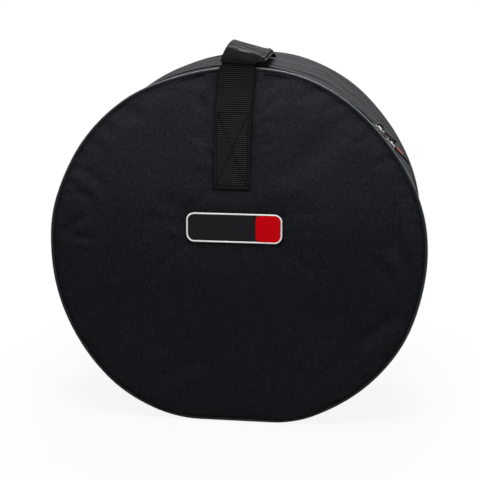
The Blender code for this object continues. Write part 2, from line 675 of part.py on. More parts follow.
def pull(prefix, axis, mark_side):
    """Wire ring through the bridge, with a flat tag and its plain coloured mark on one face."""
    middle = (PULL_RING_LENGTH / 2, 0.0)
    ring = rounded_box(PULL_RING_LENGTH, PULL_RING_WIDTH, PULL_RING_CORNER, middle)
    add_tube(prefix + "_pull_ring", [(x, y, 0.0) for x, y in ring], PULL_WIRE_RADIUS,
             "zip_metal", axis, resolution=1)
    tag_start = PULL_RING_LENGTH + PULL_WIRE_RADIUS + FIT_GAP
    tag = rounded_box(TAG_LENGTH, TAG_WIDTH, TAG_CORNER, (tag_start + TAG_LENGTH / 2, 0.0))
    add_plate(prefix + "_pull_tag", [tag], TAG_THICKNESS, "pull_rubber", axis)
    mark_mid = tag_start + MARK_INSET + MARK_LENGTH / 2
    mark = rounded_box(MARK_LENGTH, MARK_WIDTH, MARK_INSET, (mark_mid, 0.0))
    mark_out = mark_side * (TAG_THICKNESS / 2 + FIT_GAP + MARK_THICKNESS / 2)
    add_plate(prefix + "_pull_mark", [mark], MARK_THICKNESS, "red_mark", axis,
              location=(0.0, 0.0, mark_out))


def slider_and_pull(prefix, angle, lift, turn, mark_side, root):
    """One slider on the zip's circle, and the pull that swings on it."""
    centre = Vector((0.0, ZIP_Y, CENTRE_Z))
    axis = add_axis(prefix + "_slider_axis", centre, root,
                    Matrix.Rotation(math.radians(90.0 - angle), 4, "Y"))
    slider(prefix, axis)
    swing = Matrix.Rotation(math.radians(turn), 4, "Z") @ Matrix.Rotation(math.radians(-lift), 4, "Y")
    pivot = Vector((0.0, 0.0, SLIDER_DECK + PULL_PIVOT_HEIGHT))
    pull(prefix, add_axis(prefix + "_pull_axis", pivot, axis, swing), mark_side)


def fold_point(station):
    """Bottom of the grip's left fold at a station on top of the handle."""
    point, roll, _ = station
    side = across_direction(roll)
    up = side.cross(Vector((0.0, 1.0, 0.0)))
    return point - side * GRIP_LEFT - up * GRIP_LEAF


def build():
    """Make the bag."""
    root = add_axis("bag", Vector())
    lid = add_axis("lid_hinge_axis", Vector((0.0, HINGE_Y, HINGE_Z)), root)
    fold_start = fold_point(rise_stations()[3])
    fold_end = fold_point(tongue_station(GRIP_END_SHARE))
    flap_turn = (fold_end - fold_start).to_track_quat("Y", "Z").to_matrix().to_4x4()
    lid_place = lid.matrix_world.inverted()
    flap_axis = add_axis("grip_flap_axis", lid_place @ fold_start, lid, flap_turn)
    side_layers(root)
    panel_layers("back", 1, root)
    panel_layers("lid", -1, lid)
    zip_halves(root, lid)
    straps(root, lid)
    grip(lid, flap_axis)
    badge(lid)
    slider_and_pull("upper", UPPER_SLIDER_ANGLE, UPPER_PULL_LIFT, UPPER_PULL_TURN, -1, root)
    slider_and_pull("lower", LOWER_SLIDER_ANGLE, LOWER_PULL_LIFT, 0.0, 1, root)


clear_scene()
BAG = bpy.data.collections.new("drum_bag")
bpy.context.scene.collection.children.link(BAG)
build()
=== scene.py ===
"""Looks of the padded drum bag: cloth, zip, webbing, grip and badge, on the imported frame.

Lengths are metres. Angles round the rim are in degrees from straight down, up the right side.
"""
import math

import bmesh
import bpy
from mathutils import Matrix, Vector, noise


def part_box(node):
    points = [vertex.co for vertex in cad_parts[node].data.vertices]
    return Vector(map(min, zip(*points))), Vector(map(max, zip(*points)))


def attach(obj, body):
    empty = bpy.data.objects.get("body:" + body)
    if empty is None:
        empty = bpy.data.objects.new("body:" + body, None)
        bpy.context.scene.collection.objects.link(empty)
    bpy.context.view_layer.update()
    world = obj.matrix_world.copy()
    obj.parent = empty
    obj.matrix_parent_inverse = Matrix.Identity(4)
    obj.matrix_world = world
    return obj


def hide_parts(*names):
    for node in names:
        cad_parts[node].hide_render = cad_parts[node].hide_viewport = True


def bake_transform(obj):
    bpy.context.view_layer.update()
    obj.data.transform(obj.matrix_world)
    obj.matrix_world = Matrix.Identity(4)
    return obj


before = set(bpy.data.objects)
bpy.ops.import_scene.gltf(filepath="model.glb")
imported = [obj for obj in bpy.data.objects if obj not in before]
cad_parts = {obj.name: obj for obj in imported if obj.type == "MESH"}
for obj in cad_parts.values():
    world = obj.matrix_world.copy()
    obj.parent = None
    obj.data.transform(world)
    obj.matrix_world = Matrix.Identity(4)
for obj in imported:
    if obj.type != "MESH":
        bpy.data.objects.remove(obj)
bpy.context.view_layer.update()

# Sizes read from the frame
PIPE_LOW, PIPE_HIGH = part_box("lid_piping")
PIPING_RADIUS = (PIPE_HIGH.y - PIPE_LOW.y) / 2
RIM_RADIUS = PIPE_HIGH.x - PIPING_RADIUS
RIM_TOP_Z = PIPE_HIGH.z - PIPING_RADIUS
CENTRE_Z = RIM_TOP_Z - RIM_RADIUS
HALF_DEPTH = -(PIPE_LOW.y + PIPE_HIGH.y) / 2
WALL_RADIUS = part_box("side_wall")[1].z - CENTRE_Z
WALL_FRONT_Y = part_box("side_wall")[0].y
SEAM_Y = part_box("side_wall")[1].y
TAPE_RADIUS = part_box("body_zip_tape")[1].z - CENTRE_Z
TAPE_BACK_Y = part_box("body_zip_tape")[1].y
ZIP_Y = (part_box("body_zip_coil")[0].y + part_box("lid_zip_coil")[1].y) / 2
COIL_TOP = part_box("body_zip_coil")[1].z - CENTRE_Z
LINING_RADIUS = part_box("side_lining")[1].z - CENTRE_Z
BADGE_LOW, BADGE_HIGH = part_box("badge_base")

# Sizes of the cloth
FLAT_HALF_WIDTH = 0.040
FIT_GAP = 0.0003
PAD_THICKNESS = 0.0048
PAD_TUCK = 0.0008
LINING_THICKNESS = 0.0006
HINGE_CLOTH_THICKNESS = 0.0010
BINDING_THICKNESS = 0.0018
WALL_TO_PIPING = 0.0021
PIPING_LOOK_SHARE = 0.66
ZIP_HALF_SWEEP = 135.0
PANEL_CROWN = 0.007
PANEL_FACE = -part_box("lid_panel")[0].y - PANEL_CROWN
CROWN_POWER = 3
QUILT_PITCH = 0.05
PANEL_QUILT_SWELL = 0.0014
WALL_QUILT_SWELL = 0.0012

# How the soft rims fade into their true circle towards the zip
SAG_FADE_START = 0.006
SAG_FADE = 0.007
WALL_SAG_FADE = 0.070
SAG_SMOOTHING = 5

# How far the cloth is puffed, waved and puckered
PANEL_PUFF = {"pressure": 2.2, "cap": 0.004, "growth": 0.012}
WALL_PUFF = {"pressure": 1.6, "cap": 0.0022, "growth": 0.006}
PUFF_FRAMES = 14
SEWN_MARGIN = 0.0012
SEAM_FADE = 0.008
SEAM_SHADE = 0.0022
PANEL_WAVE = 0.0007
PANEL_FINE_WAVE = 0.00025
PANEL_PUCKER = 0.0011
PUCKER_START_SHARE = 0.72
WALL_WAVE = 0.0013
WALL_FINE_WAVE = 0.0005
WALL_CREASE_ANGLE = 90.0 + 46.5
WALL_CREASE_WIDTH = 0.004
WALL_CREASE_DEPTH = 0.0022
HEM_START_SHARE = 0.90

# Repeat of each weave
NYLON_YARN = 0.0009
LINING_YARN = 0.0006
PIPING_YARN = 0.0009
TAPE_YARN = 0.0008
HERRINGBONE = 0.0032
BADGE_YARN = 0.00055
BADGE_FLOAT = 0.0016

# Rows of stitches
SEAM_STITCH = {"pitch": 0.0032, "length": 0.0024, "radius": 0.00028}
EDGE_STITCH = {"pitch": 0.0038, "length": 0.0030, "radius": 0.00036}
BOX_STITCH = {"pitch": 0.0042, "length": 0.0030, "radius": 0.00060}
EDGE_STITCH_INSET = 0.0030
EDGE_STITCH_SWEEP = 171.0
BOX_STITCH_MARGIN = 0.003
BOX_STATIONS = 19
BINDING_STITCH_INSET = 0.0019

# Zip tapes, the cloth edges beside them and the coils
LID_EDGE_WIDTH = 0.0072
LID_EDGE_BOW = 0.0004
LID_TAPE_START = 0.0060
LID_TAPE_EXTRA = 0.0008
LID_STITCH_AT = 0.0058
BODY_TAPE_START = 0.0026
BODY_TAPE_EXTRA = 0.0010
BODY_EDGE_OVERLAP = 0.0045
BODY_EDGE_RISE = 0.0003
BODY_EDGE_BOW = 0.0003
BODY_STITCH_AT = 0.0030
STITCH_RISE = 0.0001
WALL_EDGE_OVERLAP = 0.0022
EDGE_CLOTH_THICKNESS = 0.0008
TAPE_THICKNESS = 0.0007
COIL_PITCH = 0.0022
COIL_WIRE = 0.00042
COIL_HALF_DEPTH = 0.0012
COIL_PAST_MIDDLE = 0.0003
COIL_END_MARGIN = 0.2
COIL_HEAD_SWELL = 0.18
COIL_STEPS = 10
HINGE_CLOTH_EXTRA = 0.0004
HINGE_CLOTH_EXTRA_SWEEP = 1.0
END_TAB_ANGLE = 43.2
END_TAB_HALF_SWEEP = 1.9
END_TAB_THICKNESS = 0.0010
END_TAB_RISE = 0.0012

# Carrying strap and grip
RIB_PITCH = 0.0021
STRAP_WIDTH = 0.038
STRAP_THICKNESS = 0.0016
STRAP_FOOT_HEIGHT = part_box("front_strap")[0].z - CENTRE_Z
STRAP_FOOT_OFFSET = 0.0062
STRAP_SHIFT = 0.0035
GRIP_STRAP_WIDTH = 0.033
HANDLE_RISE = 0.0178
HANDLE_LEAN = 0.008
HANDLE_ROLL = 18.0
GRIP_MOUTH_RISE = 0.0040
GRIP_SKIN = 0.0012
GRIP_MARGIN = 0.0050
GRIP_SIDE_CLEARANCE = 0.0011
HINGE_Y, HINGE_Z = -HALF_DEPTH, PIPING_RADIUS
CASE_DEPTH = 2 * HALF_DEPTH
STRAP_CLEARANCE = FIT_GAP + STRAP_THICKNESS / 2
STRAP_ROUND = PIPING_RADIUS + STRAP_CLEARANCE
HANDLE_FRONT_Y = -(HALF_DEPTH + STRAP_ROUND)
GRIP_LEAF = STRAP_CLEARANCE + GRIP_SKIN / 2
GRIP_LEFT = GRIP_STRAP_WIDTH / 2 + GRIP_SIDE_CLEARANCE + GRIP_SKIN / 2
GRIP_RIGHT = GRIP_STRAP_WIDTH / 2 + GRIP_MARGIN
GRIP_MOUTH_STEPS = 4
GRIP_CORNER = 0.0055
GRIP_CORNER_START = 0.0035
UNDER_LEAF_EXTRA = 0.0026
# Painted highlight along the grip's mouth edge: full up to the start, gone past the end.
GRIP_EDGE_START = 0.0002
GRIP_EDGE_END = 0.0016
# Painted highlights across the grip's bend: their distances from the handle's front, their widths
# and their wander.
GRIP_RIDGE = 0.0052
GRIP_RIDGE_WIDTH = 0.0026
GRIP_RIDGE_DRIFT = 0.009
GRIP_CREST = 0.0105
GRIP_CREST_WIDTH = 0.0018
PINCH_START = 0.001
PINCH_RUN = 0.0025
LEAVES_CLOSED = 0.0008
LEAVES_PARTED = 0.0015
PARTING_START = 0.016
PARTING_RUN = 0.006
GRIP_RIPPLE = 0.00028
GRIP_FOLD_SHARE = 0.16
GRIP_FOLD_BEND = 0.55
GRIP_FOLD_ROUND = 0.0008
FASTENER_WIDTH = 0.0038
FASTENER_THICKNESS = 0.0006
FASTENER_LIFT = 0.00045
RISE_ROUTE_SHARES = ((0.0, 0.18, 0.0, 0.0), (0.0, 0.48, 0.30, 0.45), (0.028, 0.80, 0.70, 0.80),
                     (0.076, 0.946, 0.92, 1.0), (0.158, 1.0, 1.0, 1.0), (0.31, 0.97, 0.95, 0.90),
                     (0.46, 0.81, 0.82, 0.70))
TONGUE_START_SHARE = 0.56
REAR_TONGUE_START_SHARE = 0.60
GRIP_END_SHARE = 0.74
TONGUE_END_SHARE = 0.76
TONGUE_LEAN_SHARE = 0.71
TONGUE_ROLL_SHARE = 0.42
SEWN_STRAP_SHARES = ((0.0, 1.0), (0.22, 0.92), (0.44, 0.83), (0.67, 0.70), (0.84, 0.34))
EASE_STEPS = 8
REAR_STEPS = 8
REAR_BEND_STEPS = 4
SEWN_STEPS = 26

# Zip sliders and pulls: angles are above the horizontal, on the right
SLIDER_ANGLES = {"upper": 42.804, "lower": 37.4}
SLIDER_LENGTH = 0.017
SLIDER_NOSE_HALF_WIDTH = 0.0055
SLIDER_TAIL_HALF_WIDTH = 0.0044
SLIDER_PLATE = 0.0012
KEEL_HALF_WIDTH = 0.0038
KEEL_OUTER = COIL_TOP - 0.0034
SLIDER_DECK = COIL_TOP + 0.0007 + SLIDER_PLATE
BRIDGE_HALF_LENGTH = 0.0033
BRIDGE_RISE = 0.0044
BRIDGE_WIRE = 0.0010
PULL_TURNS = {"upper": 34.0, "lower": 0.0}
PULL_LIFTS = {"upper": 5.0, "lower": 4.0}
PULL_PIVOT_HEIGHT = 0.0015
RING_LENGTH = 0.0058
RING_WIDTH = 0.0072
RING_WIRE = 0.00075
TAG_START = RING_LENGTH + RING_WIRE + FIT_GAP
TAG_LENGTH = 0.0230
TAG_NECK_HALF_WIDTH = 0.0030
TAG_TIP_HALF_WIDTH = 0.0040
TAG_THICKNESS = 0.0020
MARK_START = TAG_START + 0.0012
MARK_LENGTH = 0.0095
MARK_HALF_WIDTH = 0.0025
MARK_PROUD = 0.0001
MARK_SUNK = 0.0002

# How the metal and rubber are shaped and rounded
DECK_SQUARENESS = 0.62
DECK_ROUNDING = 0.00045
KEEL_TAIL_SHARE = 0.8
KEEL_ROUNDING = 0.0003
POST_HALF_WIDTH = 0.0004
FLANGE_WIRE = 0.0005
FLANGE_START_SHARE = 0.82
BOSS_HALF_LENGTH = 0.0018
BOSS_HALF_WIDTH = 0.0024
BOSS_HEIGHT = 0.0009
BRIDGE_SQUARENESS = 0.55
RING_CORNER = 0.0014
TAG_SQUARENESS = 0.45
TAG_ROUNDING = 0.0004
TAG_DISH = 0.0003
SLEEVE_HALF_WIDTH = 0.0019
SLEEVE_RADIUS = 0.0013

# Badge
BADGE_CORNER = 0.0085
BADGE_BORDER = 0.0017
BADGE_BORDER_THREADS = 260
BADGE_BASE_TUCK = 0.0006
BADGE_FIELD_TUCK = 0.0004
BADGE_FIELD_CORNER = 0.0052
BADGE_FIELD_THICKNESS = 0.0003

# Lamps: name, place, size in metres and power in watts
LAMPS = (("key", (0.04, -0.46, 1.20), 0.5, 13.5), ("top", (0.2, 0.4, 2.0), 1.2, 1.5),
         ("rear", (0.0, 1.0, 1.5), 0.8, 15.0), ("right", (1.5, -0.9, 1.0), 0.9, 3.5))

# Camera, as the photograph was taken
VIEW_DISTANCE = 1.2
VIEW_AZIMUTH = 6.51
VIEW_ELEVATION = 15.35
LENS = 78.56
SHIFT_X = -0.0079
SHIFT_Y = -0.0094


def place_camera():
    """Camera at the photograph's angle."""
    azimuth, elevation = math.radians(VIEW_AZIMUTH), math.radians(VIEW_ELEVATION)
    back = Vector((math.sin(azimuth) * math.cos(elevation),
                   -math.cos(azimuth) * math.cos(elevation), math.sin(elevation)))
    bpy.ops.object.camera_add(location=Vector((0, 0, CENTRE_Z)) + back * VIEW_DISTANCE)
    camera = bpy.context.object
    camera.rotation_euler = (-back).to_track_quat("-Z", "Y").to_euler()
    camera.data.lens = LENS
    camera.data.shift_x = SHIFT_X
    camera.data.shift_y = SHIFT_Y
    bpy.context.scene.camera = camera


place_camera()


class Value:
    """A number socket with Python arithmetic: each operation adds its Math node."""

    def __init__(self, finish, socket):
        self.finish = finish
        self.socket = socket

    def math(self, operation, *others, clamp=False):
        inputs = [self, *others]
        node = self.finish.node("Math", {"operation": operation, "use_clamp": clamp},
                                dict(enumerate(inputs)))
        return Value(self.finish, node.outputs[0])

    def reflected(self, operation, other):
        node = self.finish.node("Math", {"operation": operation}, {0: other, 1: self})
        return Value(self.finish, node.outputs[0])

    def __add__(self, other):
        return self.math("ADD", other)

    def __sub__(self, other):
        return self.math("SUBTRACT", other)

    def __mul__(self, other):
        return self.math("MULTIPLY", other)

    def __truediv__(self, other):
        return self.math("DIVIDE", other)

    def __pow__(self, other):
        return self.math("POWER", other)

    def __gt__(self, other):
        return self.math("GREATER_THAN", other)

    def __rsub__(self, other):
        return self.reflected("SUBTRACT", other)

    def __rtruediv__(self, other):
        return self.reflected("DIVIDE", other)

    __radd__ = __add__
    __rmul__ = __mul__

    def sine(self):
        return self.math("SINE")

    def size(self):
        return self.math("ABSOLUTE")

    def part(self):
        """Position within one repeat, from 0 to 1."""
        return self.math("FRACT")

    def floor(self):
        return self.math("FLOOR")

    def clamped(self):
        """The same value, kept between 0 and 1."""
        return self.math("ADD", 0.0, clamp=True)

    def ramp(self, low, high, out_low=0.0, out_high=1.0):
        """Smooth step from out_low below low to out_high above high."""
        node = self.finish.node("MapRange", {"interpolation_type": "SMOOTHSTEP"},
                                {"Value": self, "From Min": low, "From Max": high,
                                 "To Min": out_low, "To Max": out_high})
        return Value(self.finish, node.outputs[0])


def opaque(colour):
    """A plain colour with its alpha of 1; a socket or a number stays as it is."""
    return (*colour, 1.0) if isinstance(colour, tuple) else colour


class Nodes:
    """Nodes of one material, or of the world."""

    def __init__(self, tree):
        self.nodes = tree.nodes
        self.links = tree.links

    def plug(self, socket, value):
        """Link a value to a socket, or set a constant on it."""
        if isinstance(value, Value):
            value = value.socket
        if isinstance(value, bpy.types.NodeSocket):
            self.links.new(value, socket)
        else:
            socket.default_value = value

    def node(self, kind, settings=None, inputs=None):
        """A node of one kind with its settings, and values or links on its sockets."""
        node = self.nodes.new("ShaderNode" + kind)
        for key, value in (settings or {}).items():
            setattr(node, key, value)
        for key, value in (inputs or {}).items():
            self.plug(node.inputs[key], value)
        return node

    def value(self, node, output=0):
        return Value(self, node.outputs[output])

    def camera_sees(self):
        """1 for a ray from the camera or a mirror reflection, 0 for light that spreads."""
        path = self.node("LightPath")
        return self.value(path, "Is Camera Ray").math("MAXIMUM", self.value(path, "Is Glossy Ray"))


class Finish(Nodes):
    """One procedural material of the bag."""

    def __init__(self, name, slot, roughness=0.6, **constants):
        self.material = bpy.data.materials.new(name)
        self.material.use_nodes = True
        super().__init__(self.material.node_tree)
        self.shader = self.nodes["Principled BSDF"]
        self.slot = slot
        self.shader.inputs["Roughness"].default_value = roughness
        for socket, value in constants.items():
            self.shader.inputs[socket.replace("_", " ")].default_value = value

    def along(self, source="UV"):
        """The three coordinates of a point: UV is in metres of cloth, Object in metres of space."""
        vector = self.node("TexCoord").outputs[source]
        split = self.node("SeparateXYZ", None, {0: vector})
        return vector, [self.value(split, index) for index in range(3)]

    def own(self, name):
        """A number that the piece's mesh carries at each point."""
        node = self.node("Attribute", {"attribute_name": name})
        return self.value(node, "Fac")

    def cloud(self, vector, scale, detail=3.0, roughness=0.55):
        """Soft noise around 0.5."""
        node = self.node("TexNoise", None, {"Vector": vector, "Scale": scale, "Detail": detail,
                                            "Roughness": roughness})
        return self.value(node, "Fac")

    def stretched(self, vector, scale):
        """The same coordinates, scaled unlike along each axis."""
        return self.node("Mapping", None, {"Vector": vector, "Scale": scale}).outputs[0]

    def cells(self, vector, scale, feature="F1"):
        node = self.node("TexVoronoi", {"feature": feature}, {"Vector": vector, "Scale": scale})
        return self.value(node, "Distance")

    def colour(self, mask, low, high):
        """Blend of two colours by a mask, each a colour or a socket."""
        inputs = {0: mask, 6: opaque(low), 7: opaque(high)}
        return self.node("Mix", {"data_type": "RGBA"}, inputs).outputs[2]

    def feed(self, socket, value):
        """Drive one socket of the shader."""
        self.plug(self.shader.inputs[socket], value)

    def relief(self, height, depth):
        """Bump of a height from 0 to 1, as deep as depth in metres."""
        bump = self.node("Bump", None, {"Height": height, "Distance": depth, "Strength": 1.0})
        self.feed("Normal", bump.outputs[0])


def plain_weave(across, along, pitch):
    """Height of a plain weave: threads pass over and under each other in turn."""
    warp = (across * (math.pi / pitch)).sine()
    weft = (along * (math.pi / pitch)).sine()
    over = (warp * weft) > 0.0
    return over * warp.size() + (1 - over) * weft.size()


def scaled(colour, factor):
    """A colour made darker or lighter."""
    return tuple(channel * factor for channel in colour)


def nylon_finish(name, slot, colour, roughness, pitch=NYLON_YARN, sheen=0.02, painted_sheen_streaks=0.0,
                 gloss=0.02):
    """Woven bag cloth: threads, slubs, faint dust, painted shade where it dips into a seam, painted
    light that grows lighter higher up, and on the side cloth painted sheen in long bands along the
    rim.
    """
    finish = Finish(name, slot, roughness, Specular_IOR_Level=gloss, Sheen_Weight=sheen,
                    Sheen_Roughness=0.4)
    vector, (u, v, _) = finish.along("UV")
    weave = plain_weave(u, v, pitch)
    space = finish.node("TexCoord").outputs["Object"]
    blotch = finish.cloud(space, 9.0, 4.0)
    speck = finish.cloud(space, 780.0, 1.0)
    slub = finish.cloud(finish.stretched(vector, (900.0, 120.0, 1.0)), 1.0, 2.0)
    seam = finish.own("seam")
    mask = blotch.ramp(0.3, 0.75, 0.0, 0.10) + (speck - 0.5) * 1.3 + (slub - 0.5) * 0.5
    _, (_, _, height) = finish.along("Object")
    # Painted light: the colour grows lighter from 0.18 to 0.32 m up, as if lit from above, and is
    # darker towards the floor.
    painted_top_light = height.ramp(0.18, 0.32, 0.08, 0.31)
    mask = mask + (weave - 0.6) * 0.25 + painted_top_light
    # Painted sheen: long light and dark bands along the rim, lifted a little overall.
    if painted_sheen_streaks:
        painted_sheen_streak = finish.cloud(finish.stretched(vector, (4.0, 150.0, 1.0)), 1.0, 3.0)
        mask = mask + (painted_sheen_streak - 0.5) * painted_sheen_streaks + 0.06
    # Painted shade near seams: the seam value darkens the colour by up to 85 per cent.
    mask = (mask * (1 - seam * 0.85)).clamped()
    finish.feed("Base Color", finish.colour(mask, scaled(colour, 0.35), scaled(colour, 1.9)))
    finish.feed("Roughness", blotch.ramp(0.3, 0.75, roughness - 0.05, roughness + 0.07))
    finish.relief(weave * 0.7 + slub * 0.3 + speck * 0.3, 0.00014)
    return finish


def webbing_finish(name, slot, colour):
    """Heavy webbing: cross ribs, each of short dashes that sit like bricks on the next."""
    finish = Finish(name, slot, 0.58, Specular_IOR_Level=0.03, Sheen_Weight=0.02,
                    Sheen_Roughness=0.5)
    vector, (u, v, _) = finish.along("UV")
    rib = v / RIB_PITCH
    shift = (rib.floor() * 0.5).part()
    dash = (u / (RIB_PITCH * 1.15) + shift).part()
    rib_round = (rib.part() * math.pi).sine() ** 0.8
    dash_round = (dash * math.pi).sine() ** 0.5
    yarn = ((u / (RIB_PITCH * 0.29)).part() * math.pi).sine()
    fuzz = finish.cloud(vector, 2600.0, 2.0)
    broad = finish.cloud(vector, 55.0, 3.0)
    selvage = ((u / STRAP_WIDTH - 0.5).size() * 2).ramp(0.925, 0.955)
    loops = ((v / (RIB_PITCH * 0.5)).part() * math.pi).sine()
    raised = rib_round * (0.55 + dash_round * 0.45)
    raised = raised * (1 - selvage) + selvage * loops * 0.7
    # Painted highlight and shade: the raised dashes of the ribs are coloured lighter and the gaps
    # between them darker, on top of the bump.
    mask = raised ** 3.0 * 0.95 + (fuzz - 0.5) * 0.35 + (broad - 0.5) * 0.25 + (yarn - 0.5) * 0.08
    _, (_, _, height) = finish.along("Object")
    # Painted shade: the colour is darker on the strap's upper part near the top rim, where the
    # lamps light it more strongly.
    mask = mask * height.ramp(0.33, 0.40, 1.0, 0.62)
    finish.feed("Base Color", finish.colour(mask.clamped(), scaled(colour, 0.0),
                                            scaled(colour, 4.4)))
    finish.feed("Roughness", fuzz.ramp(0.3, 0.7, 0.50, 0.70))
    finish.relief(raised + fuzz * 0.15, 0.00045)
    return finish


def leather_finish(name, slot, colour):
    """Leatherette: pebbled grain, soft creases, a painted highlight along its edges and painted
    highlights across the bend of the handle.
    """
    finish = Finish(name, slot, 0.5, Specular_IOR_Level=0.010)
    vector, (x, y, _) = finish.along("Object")
    grain = finish.cells(vector, 1150.0)
    fold = finish.cloud(finish.stretched(vector, (60.0, 190.0, 190.0)), 1.0, 4.0)
    broad = finish.cloud(vector, 70.0, 4.0)
    _, (u, v, _) = finish.along("UV")
    # Painted highlight: the colour is lighter along the leaves' side edges and their mouth edge.
    painted_edge_highlight = ((u / (GRIP_RIGHT * 2) - 0.5).size() * 2).ramp(0.90, 0.985)
    painted_edge_highlight = painted_edge_highlight + (1 - v.ramp(GRIP_EDGE_START, GRIP_EDGE_END))
    drift = finish.cloud(finish.stretched(vector, (45.0, 90.0, 45.0)), 1.0, 2.0)
    # Painted highlights: two light bands across the bend where the handle turns over, stronger
    # towards the right.
    bend = y - HANDLE_FRONT_Y + (drift - 0.5) * GRIP_RIDGE_DRIFT
    painted_ridge_highlight = (1 - ((bend - GRIP_RIDGE) / GRIP_RIDGE_WIDTH).size()).ramp(0.0, 1.0)
    painted_crest_highlight = (1 - ((bend - GRIP_CREST) / GRIP_CREST_WIDTH).size()).ramp(0.0, 1.0)
    painted_bend_highlight = (painted_ridge_highlight + painted_crest_highlight * 0.45) * x.ramp(-0.016, 0.006) * (0.2 + drift * 1.2)
    body = broad.ramp(0.3, 0.75) * 0.5 + grain * 0.3
    cloth = finish.colour((body + painted_edge_highlight * 0.5).clamped(), scaled(colour, 0.6),
                          scaled(colour, 2.4))
    finish.feed("Base Color", finish.colour(painted_bend_highlight.clamped(), cloth, scaled(colour, 19.0)))
    finish.feed("Roughness", broad.ramp(0.3, 0.7, 0.30, 0.46) + grain * 0.06)
    finish.relief(1 - grain * 0.8 + fold * 0.9, 0.00022)
    return finish


def piping_finish(name, slot, colour):
    """Cloth bound round a cord: fine slanting threads, and a painted highlight along its outer top
    side.
    """
    finish = Finish(name, slot, 0.42, Specular_IOR_Level=0.10)
    vector, (u, v, _) = finish.along("UV")
    _, (_, _, z) = finish.along("Object")
    threads = (((u + v) / PIPING_YARN).part() * math.pi).sine()
    pucker = finish.cloud(finish.stretched(vector, (150.0, 60.0, 1.0)), 1.0, 3.0)
    girth = 2 * math.pi * PIPING_RADIUS
    # Painted highlight: a light band along the cord's outer top side, fading out towards the floor
    # and broken up by the puckers.
    painted_crest_highlight = 1 - ((v - girth * 0.13) / (girth * 0.09)).size()
    painted_crest_highlight = painted_crest_highlight.ramp(0.0, 0.8) * z.ramp(0.004, 0.05) * (0.55 + pucker.ramp(0.25, 0.7) * 0.45)
    mask = painted_crest_highlight * 0.85 + threads * 0.06 + pucker * 0.04
    finish.feed("Base Color", finish.colour(mask.clamped(), scaled(colour, 0.035), colour))
    finish.feed("Roughness", pucker.ramp(0.3, 0.7, 0.36, 0.50))
    finish.relief(threads * 0.3 + pucker, 0.00022)
    return finish


def tape_finish(name, slot, colour):
    """Zip tape: a fine herringbone, quite matt."""
    finish = Finish(name, slot, 0.78, Specular_IOR_Level=0.03)
    vector, (u, v, _) = finish.along("UV")
    side = (v / HERRINGBONE).part() > 0.5
    slant = side * 2.0 - 1.0
    threads = (((u + v * slant) / TAPE_YARN).part() * math.pi).sine()
    fuzz = finish.cloud(vector, 1800.0, 2.0)
    streak = finish.cloud(finish.stretched(vector, (8.0, 700.0, 1.0)), 1.0, 2.0)
    mask = threads * 0.5 + fuzz * 0.25 + streak * 0.25
    finish.feed("Base Color", finish.colour(mask, scaled(colour, 0.5), scaled(colour, 1.5)))
    finish.feed("Roughness", fuzz.ramp(0.3, 0.7, 0.70, 0.85))
    finish.relief(threads + fuzz * 0.3, 0.00015)
    return finish


def moulded_finish(name, slot, colour, roughness, gloss=0.2):
    """Moulded plastic or rubber: faint flow marks and fine scuffs."""
    finish = Finish(name, slot, roughness, Specular_IOR_Level=gloss)
    vector = finish.node("TexCoord").outputs["Object"]
    fine = finish.cloud(vector, 3200.0, 2.0)
    broad = finish.cloud(vector, 180.0, 3.0)
    finish.feed("Base Color", finish.colour(broad.ramp(0.3, 0.7), scaled(colour, 0.8),
                                            scaled(colour, 1.25)))
    finish.feed("Roughness", broad.ramp(0.3, 0.7, roughness - 0.06, roughness + 0.08))
    finish.relief(fine, 0.00004)
    return finish


def metal_finish(name, slot, colour, roughness=0.22):
    """Plated zip metal: polished high spots, duller in the hollows."""
    finish = Finish(name, slot, roughness, Metallic=1.0)
    vector = finish.node("TexCoord").outputs["Object"]
    cast = finish.cloud(vector, 900.0, 3.0)
    scuff = finish.cloud(finish.stretched(vector, (4000.0, 500.0, 500.0)), 1.0, 2.0)
    finish.feed("Base Color", finish.colour(cast, scaled(colour, 0.7), colour))
    finish.feed("Roughness", cast.ramp(0.3, 0.7, roughness - 0.06, roughness + 0.08)
                + scuff * 0.06)
    finish.relief(cast, 0.00005)
    return finish


def twill_finish(name, slot, colour, roughness=0.6):
    """Woven badge cloth: fine satin threads that run along it."""
    finish = Finish(name, slot, roughness, Specular_IOR_Level=0.03)
    vector, (x, _, z) = finish.along("Object")
    threads = (((z + x * 0.25) / BADGE_YARN).part() * math.pi).sine()
    floats = ((x / BADGE_FLOAT + (z / BADGE_YARN).floor() * 0.37).part() * math.pi).sine()
    fuzz = finish.cloud(vector, 2500.0, 2.0)
    mask = threads * 0.5 + floats * 0.25 + fuzz * 0.25
    finish.feed("Base Color", finish.colour(mask, scaled(colour, 0.72), scaled(colour, 1.12)))
    finish.feed("Roughness", fuzz.ramp(0.3, 0.7, roughness - 0.08, roughness + 0.08))
    finish.relief(threads * 0.7 + floats * 0.3, 0.00010)
    return finish


def pile_finish(name, slot, colour):
    """Hook and loop strip: a close pile of stiff hooks."""
    finish = Finish(name, slot, 0.9, Specular_IOR_Level=0.1, Sheen_Weight=0.1)
    vector = finish.node("TexCoord").outputs["Object"]
    hooks = finish.cells(vector, 1400.0)
    finish.feed("Base Color", finish.colour(hooks, scaled(colour, 1.8), scaled(colour, 0.4)))
    finish.relief(1 - hooks, 0.0004)
    return finish


